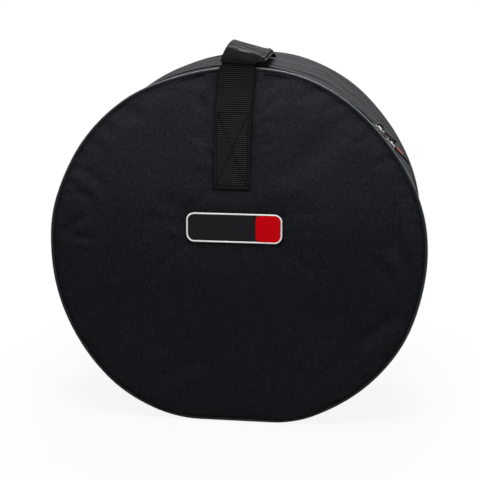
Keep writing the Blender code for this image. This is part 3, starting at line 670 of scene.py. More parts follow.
FINISHES = {
    "panel": nylon_finish("panel nylon", "bag_cloth", (0.0185, 0.0196, 0.0240), 0.66),
    # Side cloth: no gloss of its own; its base colour, well above the panel's, and its bands along
    # the rim are painted sheen standing in for the reflection seen at a grazing angle.
    "wall": nylon_finish("side nylon", "wall_cloth", (0.0480, 0.0462, 0.0500), 0.50, sheen=0.05,
                         painted_sheen_streaks=2.5, gloss=0.0),
    "lining": nylon_finish("lining cloth", "lining", (0.040, 0.040, 0.044), 0.70,
                           pitch=LINING_YARN),
    "binding": tape_finish("seam binding", "binding", (0.008, 0.008, 0.009)),
    # Front piping: this colour is the painted highlight's colour; the rest of the cord is it scaled
    # down to 3.5 per cent.
    "piping": piping_finish("piping cloth", "piping", (0.210, 0.235, 0.250)),
    "tape": tape_finish("zip tape", "zip_tape", (0.010, 0.010, 0.0115)),
    "coil": moulded_finish("zip coil", "zip_coil", (0.010, 0.010, 0.011), 0.42),
    "bright": metal_finish("bright zip metal", "zip_metal", (0.58, 0.58, 0.60)),
    "dark": moulded_finish("black zip enamel", "zip_metal", (0.003, 0.003, 0.004), 0.25,
                          gloss=0.06),
    "rubber": moulded_finish("pull rubber", "pull_rubber", (0.006, 0.006, 0.007), 0.5,
                             gloss=0.06),
    "mark": moulded_finish("red mark", "red_mark", (0.62, 0.085, 0.065), 0.45),
    "webbing": webbing_finish("strap webbing", "webbing", (0.0084, 0.0084, 0.0093)),
    "thread": tape_finish("black thread", "webbing", (0.0035, 0.0035, 0.004)),
    "leather": leather_finish("grip leatherette", "leatherette", (0.0062, 0.0060, 0.0066)),
    "fastener": pile_finish("hook and loop", "fastener", (0.010, 0.010, 0.011)),
    "badge_black": twill_finish("badge black", "badge_black", (0.0150, 0.0150, 0.0165)),
    "badge_white": twill_finish("badge white", "badge_white", (0.92, 0.92, 0.92)),
    "badge_red": twill_finish("badge red", "badge_red", (0.62, 0.001, 0.004)),
}


def choose(thing):
    """Select one object alone and make it the active one."""
    bpy.ops.object.select_all(action="DESELECT")
    thing.select_set(True)
    bpy.context.view_layer.objects.active = thing


def apply(thing, kind, **settings):
    """Add a modifier with its settings and apply it."""
    choose(thing)
    modifier = thing.modifiers.new(kind, kind)
    for key, value in settings.items():
        setattr(modifier, key, value)
    bpy.ops.object.modifier_apply(modifier=modifier.name)


def place_applied(thing):
    """Move the object's place, turn and size into its mesh."""
    choose(thing)
    bpy.ops.object.transform_apply(location=True, rotation=True, scale=True)


def dress(thing, finish, body, nodes=(), smooth=35.0):
    """Give a finished piece its material, the body it rides on and the nodes it stands for."""
    thing.data.materials.clear()
    thing.data.materials.append(FINISHES[finish].material)
    choose(thing)
    bpy.ops.object.shade_smooth_by_angle(angle=math.radians(smooth))
    if body:
        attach(thing, body)
    if nodes:
        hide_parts(*nodes)
    return thing


def cloth_grid(name, columns, rows, place, width, length):
    """Grid of quads laid out by place(u, v), with its UV map in metres of cloth."""
    bpy.ops.object.select_all(action="DESELECT")
    bpy.ops.mesh.primitive_grid_add(x_subdivisions=columns, y_subdivisions=rows, size=1.0)
    thing = bpy.context.object
    thing.name = name
    layer = thing.data.uv_layers[0]
    for loop in layer.data:
        loop.uv = (loop.uv[0] * width, loop.uv[1] * length)
    for vert in thing.data.vertices:
        vert.co = place(vert.co.x + 0.5, vert.co.y + 0.5)
    return thing


def shape_all(thing, step, **settings):
    """Run one edit step on the whole mesh of a piece."""
    choose(thing)
    bpy.ops.object.mode_set(mode="EDIT")
    bpy.ops.mesh.select_all(action="SELECT")
    step(**settings)
    bpy.ops.object.mode_set(mode="OBJECT")


def face_out(thing):
    """Turn the faces of a closed piece outwards."""
    shape_all(thing, bpy.ops.mesh.normals_make_consistent, inside=False)


def merge(thing, threshold=0.00002):
    """Close the seams of a mesh whose edges meet."""
    shape_all(thing, bpy.ops.mesh.remove_doubles, threshold=threshold)
    face_out(thing)


def face_away(thing, middle):
    """Turn a sheet so that its faces look away from middle."""
    votes = sum(polygon.normal.dot(polygon.center - middle) for polygon in thing.data.polygons)
    if votes < 0:
        shape_all(thing, bpy.ops.mesh.flip_normals)


def thicken(thing, thickness, offset=-1.0, even=True):
    """Give a sheet its thickness: inwards at an offset of -1, outwards at 1, both ways at 0."""
    apply(thing, "SOLIDIFY", thickness=thickness, offset=offset, use_even_offset=even)


def wire(name, points, radius, place=Matrix(), closed=False, roundness=3):
    """Round wire bent along points, then put in its place."""
    curve = bpy.data.curves.new(name, "CURVE")
    curve.dimensions = "3D"
    curve.bevel_depth = radius
    curve.bevel_resolution = roundness
    curve.use_fill_caps = not closed
    spline = curve.splines.new("POLY")
    spline.points.add(len(points) - 1)
    for point, target in zip(spline.points, points):
        point.co = (*target, 1.0)
    spline.use_cyclic_u = closed
    bent = bpy.data.objects.new(name, curve)
    bpy.context.scene.collection.objects.link(bent)
    choose(bent)
    bpy.ops.object.convert(target="MESH")
    merge(bent, 0.000002)
    bent.data.transform(place)
    return bent


# How far each soft rim stands out of round: degrees from straight down, and metres
FRONT_SAGS = ((-180, -0.0005), (-168, -0.0021), (-158, -0.0018), (-151, 0.0003), (-144, 0.0008),
              (-129, 0.0010), (-114, 0.0002), (-102, 0.0015), (-90, 0.0002), (-72, 0.0009),
              (-60, 0.0015), (-48, 0.0029), (-39, 0.0037), (-30, 0.0022), (-24, 0.0008),
              (-18, 0.0), (18, 0.0), (30, 0.0005), (42, 0.0021), (54, 0.0027), (63, 0.0031),
              (72, 0.0019), (80, 0.0012), (90, 0.0019), (102, 0.0026), (112, 0.0018),
              (120, 0.0008), (130, 0.0003), (138, 0.0008), (146, 0.0020), (152, 0.0026),
              (162, 0.0027), (168, 0.0009), (180, -0.0005))
BACK_SAGS = ((-180, -0.0010), (-174, -0.0022), (-156, -0.0020), (-150, -0.0004), (-129, 0.0008),
             (-90, 0.0002), (-60, 0.0010), (-42, 0.0020), (-25, 0.0), (25, 0.0), (42, 0.0015),
             (60, 0.0022), (72, 0.0015), (90, 0.0015), (102, 0.0018), (112, 0.0003),
             (130, 0.0001), (137, 0.0010), (144, 0.0024), (166, 0.0026), (174, 0.0006),
             (180, -0.0010))


def whole_turn(rows):
    """Value at each degree from -180 to 180, smoothed between the given ones."""
    def straight(turn):
        turn = (turn + 180) % 360 - 180
        for (low, first), (high, second) in zip(rows, rows[1:]):
            if low <= turn <= high:
                return first + (second - first) * (turn - low) / (high - low)
    steps = range(-SAG_SMOOTHING, SAG_SMOOTHING + 1)
    return [sum(straight(turn + step) for step in steps) / len(steps) for turn in range(-180, 181)]


FRONT_SAG_TURN = whole_turn(FRONT_SAGS)
BACK_SAG_TURN = whole_turn(BACK_SAGS)


def sag(angle, y):
    """How far the shell stands out of round: nothing at the zip, where the sliders run."""
    if y < ZIP_Y:
        table, share = FRONT_SAG_TURN, (ZIP_Y - SAG_FADE_START - y) / SAG_FADE
    else:
        table, share = BACK_SAG_TURN, (y - WALL_FRONT_Y) / WALL_SAG_FADE
    share = min(max(share, 0.0), 1.0)
    turn = (angle + 180.0) % 360.0
    index = int(turn)
    value = table[index] + (table[index + 1] - table[index]) * (turn - index)
    return value * share * share * (3 - 2 * share)


def rim_reach(angle, radius, lift):
    """Distance from the rim's centre to its flattened outline, at an angle from straight down."""
    turn = abs((angle + 180.0) % 360.0 - 180.0)
    turn = math.radians(turn)
    drop = CENTRE_Z - lift
    corner = (radius ** 2 - drop ** 2 - FLAT_HALF_WIDTH ** 2) / (2 * (radius - drop))
    away = radius - corner
    corner_end = math.asin(FLAT_HALF_WIDTH / away)
    if turn < math.pi / 2 and math.tan(turn) * drop < FLAT_HALF_WIDTH:
        return drop / math.cos(turn)
    if turn < corner_end:
        delta = corner_end - turn
        return away * math.cos(delta) + math.sqrt(corner ** 2 - (away * math.sin(delta)) ** 2)
    return radius


def rim_point(angle, inset, y, piping=False):
    """Point on the rim at an angle and depth, inset from the side's outer face."""
    if piping:
        reach = rim_reach(angle, RIM_RADIUS - inset, PIPING_RADIUS + inset)
    else:
        reach = rim_reach(angle, WALL_RADIUS - inset, inset)
    reach += sag(angle, y)
    turn = math.radians(angle)
    return Vector((reach * math.sin(turn), y, CENTRE_Z - reach * math.cos(turn)))


def carry(thing, name, share_at):
    """Give each point of a piece a number from 0 to 1 that its finish reads."""
    layer = thing.data.attributes.new(name, "FLOAT", "POINT")
    for vert, item in zip(thing.data.vertices, layer.data):
        item.value = share_at(vert.co)


def crown_at(share):
    """How far a panel stands out at a share of its radius."""
    return PANEL_CROWN * (1 - min(share, 1.0) ** CROWN_POWER)


def puff(thing, pinned, pressure, cap, growth):
    """Cloth simulation: pressure from behind puffs the cloth between its seams."""
    start = [vert.co.copy() for vert in thing.data.vertices]
    group = thing.vertex_groups.new(name="sewn")
    group.add(pinned, 1.0, "REPLACE")
    choose(thing)
    cloth = thing.modifiers.new("Cloth", "CLOTH")
    settings = cloth.settings
    settings.quality = 4
    settings.mass = 0.2
    settings.tension_stiffness = 15.0
    settings.compression_stiffness = 15.0
    settings.shear_stiffness = 8.0
    settings.bending_stiffness = 0.6
    settings.use_pressure = True
    settings.uniform_pressure_force = pressure
    settings.shrink_min = -growth
    settings.vertex_group_mass = "sewn"
    settings.effector_weights.gravity = 0.0
    cloth.collision_settings.use_collision = False
    for step in range(PUFF_FRAMES):
        bpy.context.scene.frame_set(step + 1)
    bpy.ops.object.modifier_apply(modifier=cloth.name)
    bpy.context.scene.frame_set(1)
    for vert, before in zip(thing.data.vertices, start):
        move = vert.co - before
        if move.length > cap:
            vert.co = before + move * (cap / move.length)
    thing.vertex_groups.clear()


def stitches(name, points, body, pitch, length, radius):
    """Row of thread stitches along a chain of (place, outward) points."""
    bpy.ops.object.select_all(action="DESELECT")
    bpy.ops.mesh.primitive_uv_sphere_add(segments=6, ring_count=5, radius=1.0)
    seed = bpy.context.object
    seed.scale = (length / 2, radius * 1.25, radius)
    place_applied(seed)
    template = seed.data
    lengths = [0.0]
    for (start, _), (end, _) in zip(points, points[1:]):
        lengths.append(lengths[-1] + (end - start).length)
    count = max(int(lengths[-1] / pitch), 1)
    bm = bmesh.new()
    index = 0
    for number in range(count):
        at = (number + 0.5) * lengths[-1] / count
        while lengths[index + 1] < at and index < len(points) - 2:
            index += 1
        (start, out_a), (end, out_b) = points[index], points[index + 1]
        share = (at - lengths[index]) / max(lengths[index + 1] - lengths[index], 1e-9)
        along = (end - start).normalized()
        out = out_a.lerp(out_b, share)
        out = (out - along * out.dot(along)).normalized()
        basis = Matrix((along, out.cross(along), out)).transposed().to_4x4()
        first = len(bm.verts)
        bm.from_mesh(template)
        bm.verts.ensure_lookup_table()
        basis.translation = start.lerp(end, share) + out * (radius * 0.25)
        bmesh.ops.transform(bm, matrix=basis, verts=bm.verts[first:])
    mesh = bpy.data.meshes.new(name)
    bm.to_mesh(mesh)
    bm.free()
    bpy.data.objects.remove(seed, do_unlink=True)
    row = bpy.data.objects.new(name, mesh)
    bpy.context.scene.collection.objects.link(row)
    return dress(row, "thread", body, smooth=80.0)


def soft_fold(x, height, middle, direction, length, width, depth):
    """Depth of one soft crease at a place on a panel: gone past its ends."""
    away, rise = x - middle[0], height - middle[1]
    size = math.hypot(*direction)
    run = (away * direction[0] + rise * direction[1]) / size
    aside = (away * direction[1] - rise * direction[0]) / size
    aside += width * 0.4 * math.sin(run / length * 2.0)
    dip = math.exp(-(aside / width) ** 2) - 0.5 * math.exp(-((aside - 2 * width) / width) ** 2)
    return depth * dip * math.exp(-(run / length) ** 4)


# Creases of the front cloth: middle, direction, half length, half width, depth
FRONT_CREASES = (
    ((0.168, 0.036), (0.15, 1.0), 0.0275, 0.0061, 0.0034),
    ((0.176, 0.010), (-0.10, 1.0), 0.0225, 0.0054, 0.0027),
    ((0.158, -0.012), (-0.35, 1.0), 0.0200, 0.0068, 0.0023),
    ((-0.176, 0.030), (0.75, 0.5), 0.0163, 0.0054, 0.0029),
    ((-0.168, 0.018), (1.0, -0.25), 0.0150, 0.0047, 0.0021),
    ((-0.151, 0.084), (0.6, -0.8), 0.0200, 0.0062, 0.0022),
    ((-0.163, 0.066), (0.75, -0.65), 0.0160, 0.0055, 0.0014),
    ((0.155, -0.074), (1.0, 0.62), 0.0290, 0.0080, 0.0032),
    ((0.085, 0.120), (0.8, 0.55), 0.0562, 0.0121, 0.0025),
    ((-0.032, 0.150), (0.15, 1.0), 0.0225, 0.0054, 0.0025),
    ((-0.030, 0.118), (-0.3, 1.0), 0.0125, 0.0047, 0.0021),
    ((0.030, 0.100), (0.2, 1.0), 0.0275, 0.0068, 0.0017),
    ((-0.060, -0.130), (1.0, 0.35), 0.0375, 0.0095, 0.0019),
    ((0.110, -0.120), (1.0, 0.9), 0.0350, 0.0088, 0.0021),
)
BACK_CREASES = (
    ((0.030, 0.140), (-0.15, 1.0), 0.0250, 0.0061, 0.0025),
    ((-0.150, 0.060), (0.4, 1.0), 0.0300, 0.0068, 0.0025),
    ((0.120, -0.110), (1.0, 1.0), 0.0375, 0.0095, 0.0025),
    ((-0.080, -0.140), (1.0, 0.3), 0.0350, 0.0081, 0.0021),
)


def disc_place(u, v, radius, lift, y):
    """Place in x and z on a round panel, from a square grid, and its share of the radius."""
    p, q = 2 * u - 1, 2 * v - 1
    x, z = p * math.sqrt(1 - q * q / 2), q * math.sqrt(1 - p * p / 2)
    share = math.hypot(x, z)
    angle = math.degrees(math.atan2(x, -z))
    reach = share * (rim_reach(angle, radius, lift) + sag(angle, y))
    turn = math.radians(angle)
    return reach * math.sin(turn), CENTRE_Z - reach * math.cos(turn), share


def quilt(run, across):
    """Swell of diamond quilting at a place, from 0 on its seams to 1."""
    return math.sqrt(abs(math.sin((run + across) * math.pi / QUILT_PITCH)
                         * math.sin((run - across) * math.pi / QUILT_PITCH)))


def panel_pad(name, side, body, nodes, strap_offset, creases):
    """Padded round panel: its cloth is puffed between the piping and what is sewn on it."""
    edge_radius = RIM_RADIUS - PAD_TUCK
    edge_lift = PIPING_RADIUS + PAD_TUCK
    badge_is_here = side < 0

    def place(u, v):
        x, z, share = disc_place(u, v, edge_radius, edge_lift, side * HALF_DEPTH)
        return Vector((x, side * (PANEL_FACE + crown_at(share)), z))

    def clear_of_seams(point):
        """Distance to the nearest seam: the rim, the strap's edge or the badge's edge."""
        height = point.z - CENTRE_Z
        angle = math.degrees(math.atan2(point.x, -height))
        rim = rim_reach(angle, edge_radius, edge_lift) + sag(angle, side * HALF_DEPTH)
        rim -= math.hypot(point.x, height)
        foot_share = (RIM_RADIUS - height) / (RIM_RADIUS - STRAP_FOOT_HEIGHT)
        middle = STRAP_SHIFT - strap_offset * (0.3 + 0.7 * foot_share)
        strap = max(abs(point.x - middle) - STRAP_WIDTH / 2, STRAP_FOOT_HEIGHT - height)
        if not badge_is_here:
            return min(rim, strap)
        badge_gap = max(BADGE_LOW.x - point.x, point.x - BADGE_HIGH.x, BADGE_LOW.z - point.z,
                        point.z - BADGE_HIGH.z)
        return min(rim, strap, badge_gap)

    pad = cloth_grid(name, 150, 150, place, 2 * RIM_RADIUS, 2 * RIM_RADIUS)
    merge(pad)
    face_away(pad, Vector((0, 0, CENTRE_Z)))
    gaps = [clear_of_seams(vert.co) for vert in pad.data.vertices]
    puff(pad, [index for index, gap in enumerate(gaps) if gap < SEWN_MARGIN], **PANEL_PUFF)
    for vert, gap in zip(pad.data.vertices, gaps):
        if gap < 0.0:
            continue
        height = vert.co.z - CENTRE_Z
        reach = math.hypot(vert.co.x, height)
        soft = (noise.noise(vert.co * 22.0) * PANEL_WAVE
                + noise.noise(vert.co * 60.0) * PANEL_FINE_WAVE)
        ring = max(0.0, (reach / RIM_RADIUS - PUCKER_START_SHARE) / (1 - PUCKER_START_SHARE))
        turn = math.atan2(vert.co.x, height)
        pucker = noise.noise(Vector((math.sin(turn) * 9.0, math.cos(turn) * 9.0, side * 3.0)))
        crease = sum(soft_fold(vert.co.x, height, *fold) for fold in creases)
        fade = min(1.0, gap / SEAM_FADE)
        vert.co.y += side * fade * (soft + pucker * PANEL_PUCKER * ring - crease)
    row = []
    for step in range(181):
        angle = EDGE_STITCH_SWEEP * (step / 90 - 1)
        reach = rim_reach(angle, edge_radius, edge_lift) + sag(angle, side * HALF_DEPTH)
        turn = math.radians(angle)
        reach -= EDGE_STITCH_INSET
        near = Vector((reach * math.sin(turn), side * PANEL_FACE,
                       CENTRE_Z - reach * math.cos(turn)))
        _, on_cloth, out, _ = pad.closest_point_on_mesh(near)
        row.append((on_cloth.copy(), out.copy()))
    stitches(name + "_edge_stitches", row, body, **EDGE_STITCH)
    thicken(pad, PAD_THICKNESS)
    # Painted shade: how close each point is to the rim, the strap's edge or the badge's edge, which
    # darkens the cloth's colour there.
    carry(pad, "seam", lambda place: math.exp(-max(clear_of_seams(place), 0.0) / SEAM_SHADE))
    dress(pad, "panel", body, nodes)
    return pad


def round_lining(name, side, body, node):
    """Lining of a round panel: thin quilted cloth with diamond stitching."""
    low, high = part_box(node)
    radius = high.x
    lift = low.z
    face = min(abs(low.y), abs(high.y)) + LINING_THICKNESS

    def place(u, v):
        x, z, share = disc_place(u, v, radius, lift, side * face)
        swell = PANEL_QUILT_SWELL * quilt(x, z) * min(1.0, (1 - share) / 0.04)
        return Vector((x, side * (face + crown_at(share) - swell), z))

    lining = cloth_grid(name, 160, 160, place, 2 * radius, 2 * radius)
    merge(lining)
    face_away(lining, Vector((0, 0, CENTRE_Z)))
    thicken(lining, LINING_THICKNESS)
    dress(lining, "lining", body, [node])


def wall_pad():
    """Padded side: cloth drawn round the foam, with long soft waves and one cross crease."""
    rows = 44

    def place(u, v):
        angle = 360.0 * u
        y = WALL_FRONT_Y + (SEAM_Y - WALL_FRONT_Y) * v
        return rim_point(angle, 0.0, y)

    wall = cloth_grid("side_pad", 330, rows, place, 2 * math.pi * WALL_RADIUS,
                      SEAM_Y - WALL_FRONT_Y)
    merge(wall)
    face_away(wall, Vector((0, (WALL_FRONT_Y + SEAM_Y) / 2, CENTRE_Z)))
    margin = (SEAM_Y - WALL_FRONT_Y) / rows
    pinned = [vert.index for vert in wall.data.vertices
              if vert.co.y < WALL_FRONT_Y + margin or vert.co.y > SEAM_Y - margin]
    puff(wall, pinned, **WALL_PUFF)
    crease_turn = math.radians(WALL_CREASE_ANGLE)
    for vert in wall.data.vertices:
        height = vert.co.z - CENTRE_Z
        turn = math.atan2(vert.co.x, -height)
        depth_share = (vert.co.y - WALL_FRONT_Y) / (SEAM_Y - WALL_FRONT_Y)
        edge = min(1.0, 8 * depth_share, 8 * (1 - depth_share))
        wave = noise.noise(Vector((math.sin(turn) * 3.0, math.cos(turn) * 3.0, vert.co.y * 55.0)))
        small = noise.noise(Vector((vert.co.x * 30.0, vert.co.y * 60.0, vert.co.z * 30.0)))
        crease = math.exp(-((turn - crease_turn) * WALL_RADIUS / WALL_CREASE_WIDTH) ** 2)
        crease *= math.exp(-((depth_share - 0.45) / 0.3) ** 4)
        out = Vector((vert.co.x, 0.0, height)).normalized()
        hem = min(max((depth_share - HEM_START_SHARE) / (1 - HEM_START_SHARE), 0.0), 1.0)
        hem = hem * hem * (3 - 2 * hem) * WALL_TO_PIPING
        rise = wave * WALL_WAVE + small * WALL_FINE_WAVE - crease * WALL_CREASE_DEPTH
        vert.co += out * (edge * rise + hem)
        vert.co.z = max(vert.co.z, 0.0)
    thicken(wall, PAD_THICKNESS)
    dress(wall, "wall", "bag", ["side_wall", "side_foam"])


def wall_lining():
    """Lining of the side, quilted like the panels' linings."""
    low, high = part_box("side_lining")
    inset = WALL_RADIUS - LINING_RADIUS + LINING_THICKNESS

    def place(u, v):
        angle = 360.0 * u
        y = low.y + (high.y - low.y) * v
        run = 2 * math.pi * LINING_RADIUS * u
        swell = WALL_QUILT_SWELL * quilt(run, y) * min(1.0, 12 * v, 12 * (1 - v))
        return rim_point(angle, inset + swell, y)

    lining = cloth_grid("side_lining_cloth", 420, 40, place, 2 * math.pi * LINING_RADIUS,
                        high.y - low.y)
    merge(lining)
    face_away(lining, Vector((0, (low.y + high.y) / 2, CENTRE_Z)))
    thicken(lining, LINING_THICKNESS, offset=1.0)
    dress(lining, "lining", "bag", ["side_lining"])


def tube(name, columns, sides, centre, radius, length):
    """Closed cord: centre(u) gives its middle and the two directions across it."""

    def place(u, v):
        middle, across, out = centre(u)
        turn = 2 * math.pi * v
        return middle + (across * math.cos(turn) + out * math.sin(turn)) * radius(u, turn)

    girth = 2 * math.pi * radius(0.0, 0.0)
    cord = cloth_grid(name, columns, sides, place, length, girth)
    merge(cord)
    return cord


def piping(name, side, body, node, finish):
    """Cloth-covered cord round the rim of a panel, with small puckers."""

    def centre(u):
        point = rim_point(360.0 * u, 0.0, side * HALF_DEPTH, piping=True)
        ahead = rim_point(360.0 * u + 0.2, 0.0, side * HALF_DEPTH, piping=True)
        along = (ahead - point).normalized()
        return point, Vector((0.0, side, 0.0)), Vector((0.0, 1.0, 0.0)).cross(along)

    def radius(u, _):
        pucker = noise.noise(Vector((math.sin(2 * math.pi * u) * 60, math.cos(2 * math.pi * u) * 60,
                                     side * 5.0)))
        return PIPING_RADIUS * (PIPING_LOOK_SHARE + 0.05 * pucker)

    cord = tube(name, 620, 14, centre, radius, 2 * math.pi * RIM_RADIUS)
    for vert in cord.data.vertices:
        vert.co.z = max(vert.co.z, 0.0)
    dress(cord, finish, body, [node], smooth=60.0)


def rim_band(name, start, end, inset, y_front, y_back, thickness, finish, body, nodes, rows=6,
             columns=200, bow=0.0):
    """Strip of cloth along the rim from one angle to another; bow rounds it across."""
    closed = abs(end - start) >= 360.0

    def place(u, v):
        swell = bow * (1 - (2 * v - 1) ** 2)
        return rim_point(start + (end - start) * u, inset - swell, y_front + (y_back - y_front) * v)

    run = math.radians(end - start) * WALL_RADIUS
    band = cloth_grid(name, columns, rows, place, run, y_back - y_front)
    if closed:
        merge(band)
    middle = Vector((0, (y_front + y_back) / 2, CENTRE_Z))
    face_away(band, middle)
    thicken(band, thickness)
    if finish:
        dress(band, finish, body, nodes)
    return band


def rim_stitches(name, start, end, inset, y, body):
    """Topstitching along the rim."""
    steps = max(int(abs(end - start) / 2.0), 2)
    points = []
    for step in range(steps + 1):
        angle = start + (end - start) * step / steps
        turn = math.radians(angle)
        points.append((rim_point(angle, inset, y), Vector((math.sin(turn), 0.0, -math.cos(turn)))))
    return stitches(name, points, body, **SEAM_STITCH)


def zip_coil(name, side, body, node):
    """Coil of one zip row: a helix squashed flat, sewn along the tape's edge."""
    start = 180.0 - ZIP_HALF_SWEEP + COIL_END_MARGIN
    end = 180.0 + ZIP_HALF_SWEEP - COIL_END_MARGIN
    middle_radius = COIL_TOP - COIL_HALF_DEPTH
    turns = int(math.radians(end - start) * middle_radius / COIL_PITCH)
    half_height = COIL_HALF_DEPTH - COIL_WIRE
    low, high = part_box(node)
    near = ZIP_Y - side * COIL_PAST_MIDDLE
    far = (high.y if side > 0 else low.y) - side * COIL_WIRE
    points = []
    for index in range(turns * COIL_STEPS + 1):
        turn = 2 * math.pi * index / COIL_STEPS
        angle = math.radians(start + (end - start) * index / (turns * COIL_STEPS))
        share = (1 - math.cos(turn)) / 2
        y = far + (near - far) * share
        head = 1.0 + COIL_HEAD_SWELL * share
        radius = middle_radius + math.sin(turn) * half_height * head
        points.append((radius * math.sin(angle), y, CENTRE_Z - radius * math.cos(angle)))
    dress(wire(name, points, COIL_WIRE, roundness=1), "coil", body, [node], smooth=70.0)


def zip_and_edges():
    """Tapes, coils, the cloth edges they are sewn to, and the seam bindings inside."""
    start, end = 180.0 - ZIP_HALF_SWEEP, 180.0 + ZIP_HALF_SWEEP
    tape_inset = WALL_RADIUS - TAPE_RADIUS
    low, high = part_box("lid_zip_tape")
    rim_band("lid_side_cloth", start, end, 0.0, low.y, low.y + LID_EDGE_WIDTH,
             EDGE_CLOTH_THICKNESS, "tape", "lid", [], rows=8, bow=LID_EDGE_BOW)
    rim_band("lid_tape_cloth", start, end, tape_inset, low.y + LID_TAPE_START,
             high.y + LID_TAPE_EXTRA, TAPE_THICKNESS, "tape", "lid", ["lid_zip_tape"])
    rim_stitches("lid_tape_stitches", start + 1, end - 1, -STITCH_RISE, low.y + LID_STITCH_AT,
                 "lid")
    rim_band("body_tape_cloth", start, end, tape_inset, ZIP_Y + BODY_TAPE_START,
             TAPE_BACK_Y + BODY_TAPE_EXTRA, TAPE_THICKNESS, "tape", "bag", ["body_zip_tape"])
    rim_band("body_edge_cloth", start, end, -BODY_EDGE_RISE, TAPE_BACK_Y - BODY_EDGE_OVERLAP,
             WALL_FRONT_Y + WALL_EDGE_OVERLAP, EDGE_CLOTH_THICKNESS, "tape", "bag", [], rows=8,
             bow=BODY_EDGE_BOW)
    rim_stitches("body_tape_stitches", start + 1, end - 1, -BODY_EDGE_RISE - STITCH_RISE,
                 TAPE_BACK_Y - BODY_STITCH_AT, "bag")
    zip_coil("lid_coil", -1, "lid", "lid_zip_coil")
    zip_coil("body_coil", 1, "bag", "body_zip_coil")
    for name, body, node in (("lid_binding", "lid", "lid_seam_binding"),
                             ("back_binding", "bag", "back_seam_binding")):
        low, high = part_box(node)
        inset = WALL_RADIUS - (high.z - CENTRE_Z)
        rim_band(name, 0.0, 360.0, inset, low.y, high.y, BINDING_THICKNESS, "binding", body,
                 [node], columns=300, bow=0.0002)
        rim_stitches(name + "_stitches", 0.0, 360.0, inset + BINDING_STITCH_INSET,
                     (low.y + high.y) / 2, body)


def hinge_cloth():
    """Strip of side cloth left uncut at the bottom, where the lid hinges: on the real bag it bends
    as the lid opens, here it is one fixed piece.
    """
    low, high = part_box("hinge_strip")
    reach = math.degrees(math.asin(high.x / WALL_RADIUS)) + HINGE_CLOTH_EXTRA_SWEEP
    strip = rim_band("hinge_cloth", -reach, reach, 0.0, low.y, high.y + HINGE_CLOTH_EXTRA,
                     HINGE_CLOTH_THICKNESS, None, None, [], rows=28, columns=150)
    for vert in strip.data.vertices:
        vert.co.z = max(vert.co.z, 0.0)
    dress(strip, "wall", None, ["hinge_strip"])
    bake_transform(strip)
    for name, node, middle in (("right_tab", "right_zip_end_tab", END_TAB_ANGLE),
                               ("left_tab", "left_zip_end_tab", -END_TAB_ANGLE)):
        low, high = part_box(node)
        tab = rim_band(name, middle - END_TAB_HALF_SWEEP, middle + END_TAB_HALF_SWEEP,
                       -END_TAB_RISE, low.y, high.y, END_TAB_THICKNESS, None, None, [], rows=10,
                       columns=12, bow=0.0002)
        dress(tab, "webbing", None, [node])
        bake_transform(tab)


panel_pad("front_pad", -1, "lid", ["lid_panel", "lid_foam"], STRAP_FOOT_OFFSET, FRONT_CREASES)
panel_pad("back_pad", 1, "bag", ["back_panel", "back_foam"], 0.0, BACK_CREASES)
round_lining("front_lining", -1, "lid", "lid_lining")
round_lining("back_lining_cloth", 1, "bag", "back_lining")
wall_pad()
wall_lining()
piping("front_piping_cord", -1, "lid", "lid_piping", "piping")
piping("back_piping_cord", 1, "bag", "back_piping", "wall")
zip_and_edges()
hinge_cloth()


def route_y(share):
    """Depth of a place on the handle, from the front rim at 0 to the back rim at 1."""
    return HANDLE_FRONT_Y + share * CASE_DEPTH


def panel_out(height, offset):
    """Distance of a sewn strap's middle from the mid plane."""
    share = math.hypot(height, offset) / (RIM_RADIUS - PIPING_RADIUS - FIT_GAP)
    return PANEL_FACE + crown_at(min(share, 1.0)) + STRAP_CLEARANCE


def sewn_stations(side, foot_offset):
    """Strap stations up the panel, from its foot to just under the piping."""
    result = []
    for step in range(SEWN_STEPS):
        height_share = SEWN_STRAP_SHARES[-1][0] * step / (SEWN_STEPS - 1)
        for (low, first), (high, second) in zip(SEWN_STRAP_SHARES, SEWN_STRAP_SHARES[1:]):
            if low <= height_share <= high + 1e-9:
                offset_share = first + (second - first) * (height_share - low) / (high - low)
        height = STRAP_FOOT_HEIGHT + height_share * (RIM_RADIUS - STRAP_FOOT_HEIGHT)
        offset = STRAP_SHIFT - foot_offset * offset_share
        out = max(panel_out(height, offset), HALF_DEPTH + STRAP_CLEARANCE)
        result.append((Vector((offset, side * out, CENTRE_Z + height)), 0.0, STRAP_WIDTH))
    return result


def tongue_station(share):
    """Station on the rear strap's tongue, which leaves the grip on a circle about the hinge."""
    radius = math.hypot(route_y(GRIP_END_SHARE) - HINGE_Y,
                        CENTRE_Z + WALL_RADIUS + GRIP_MOUTH_RISE - HINGE_Z)
    y = route_y(share)
    z = HINGE_Z + math.sqrt(radius ** 2 - (y - HINGE_Y) ** 2)
    place = Vector((STRAP_SHIFT + TONGUE_LEAN_SHARE * HANDLE_LEAN, y, z))
    return place, TONGUE_ROLL_SHARE * HANDLE_ROLL, GRIP_STRAP_WIDTH


def eased(stations):
    """More stations on a smooth curve through the given ones."""
    rows = [(*point, roll, width) for point, roll, width in stations]
    rows = [rows[0]] + rows + [rows[-1]]
    result = []
    for before, start, end, after in zip(rows, rows[1:], rows[2:], rows[3:]):
        for step in range(EASE_STEPS):
            t = step / EASE_STEPS
            values = [b + t * ((c - a) / 2 + t * (a - 2.5 * b + 2 * c - d / 2
                               + t * (1.5 * (b - c) + (d - a) / 2)))
                      for a, b, c, d in zip(before, start, end, after)]
            result.append((Vector(values[:3]), values[3], values[4]))
    return result + [stations[-1]]


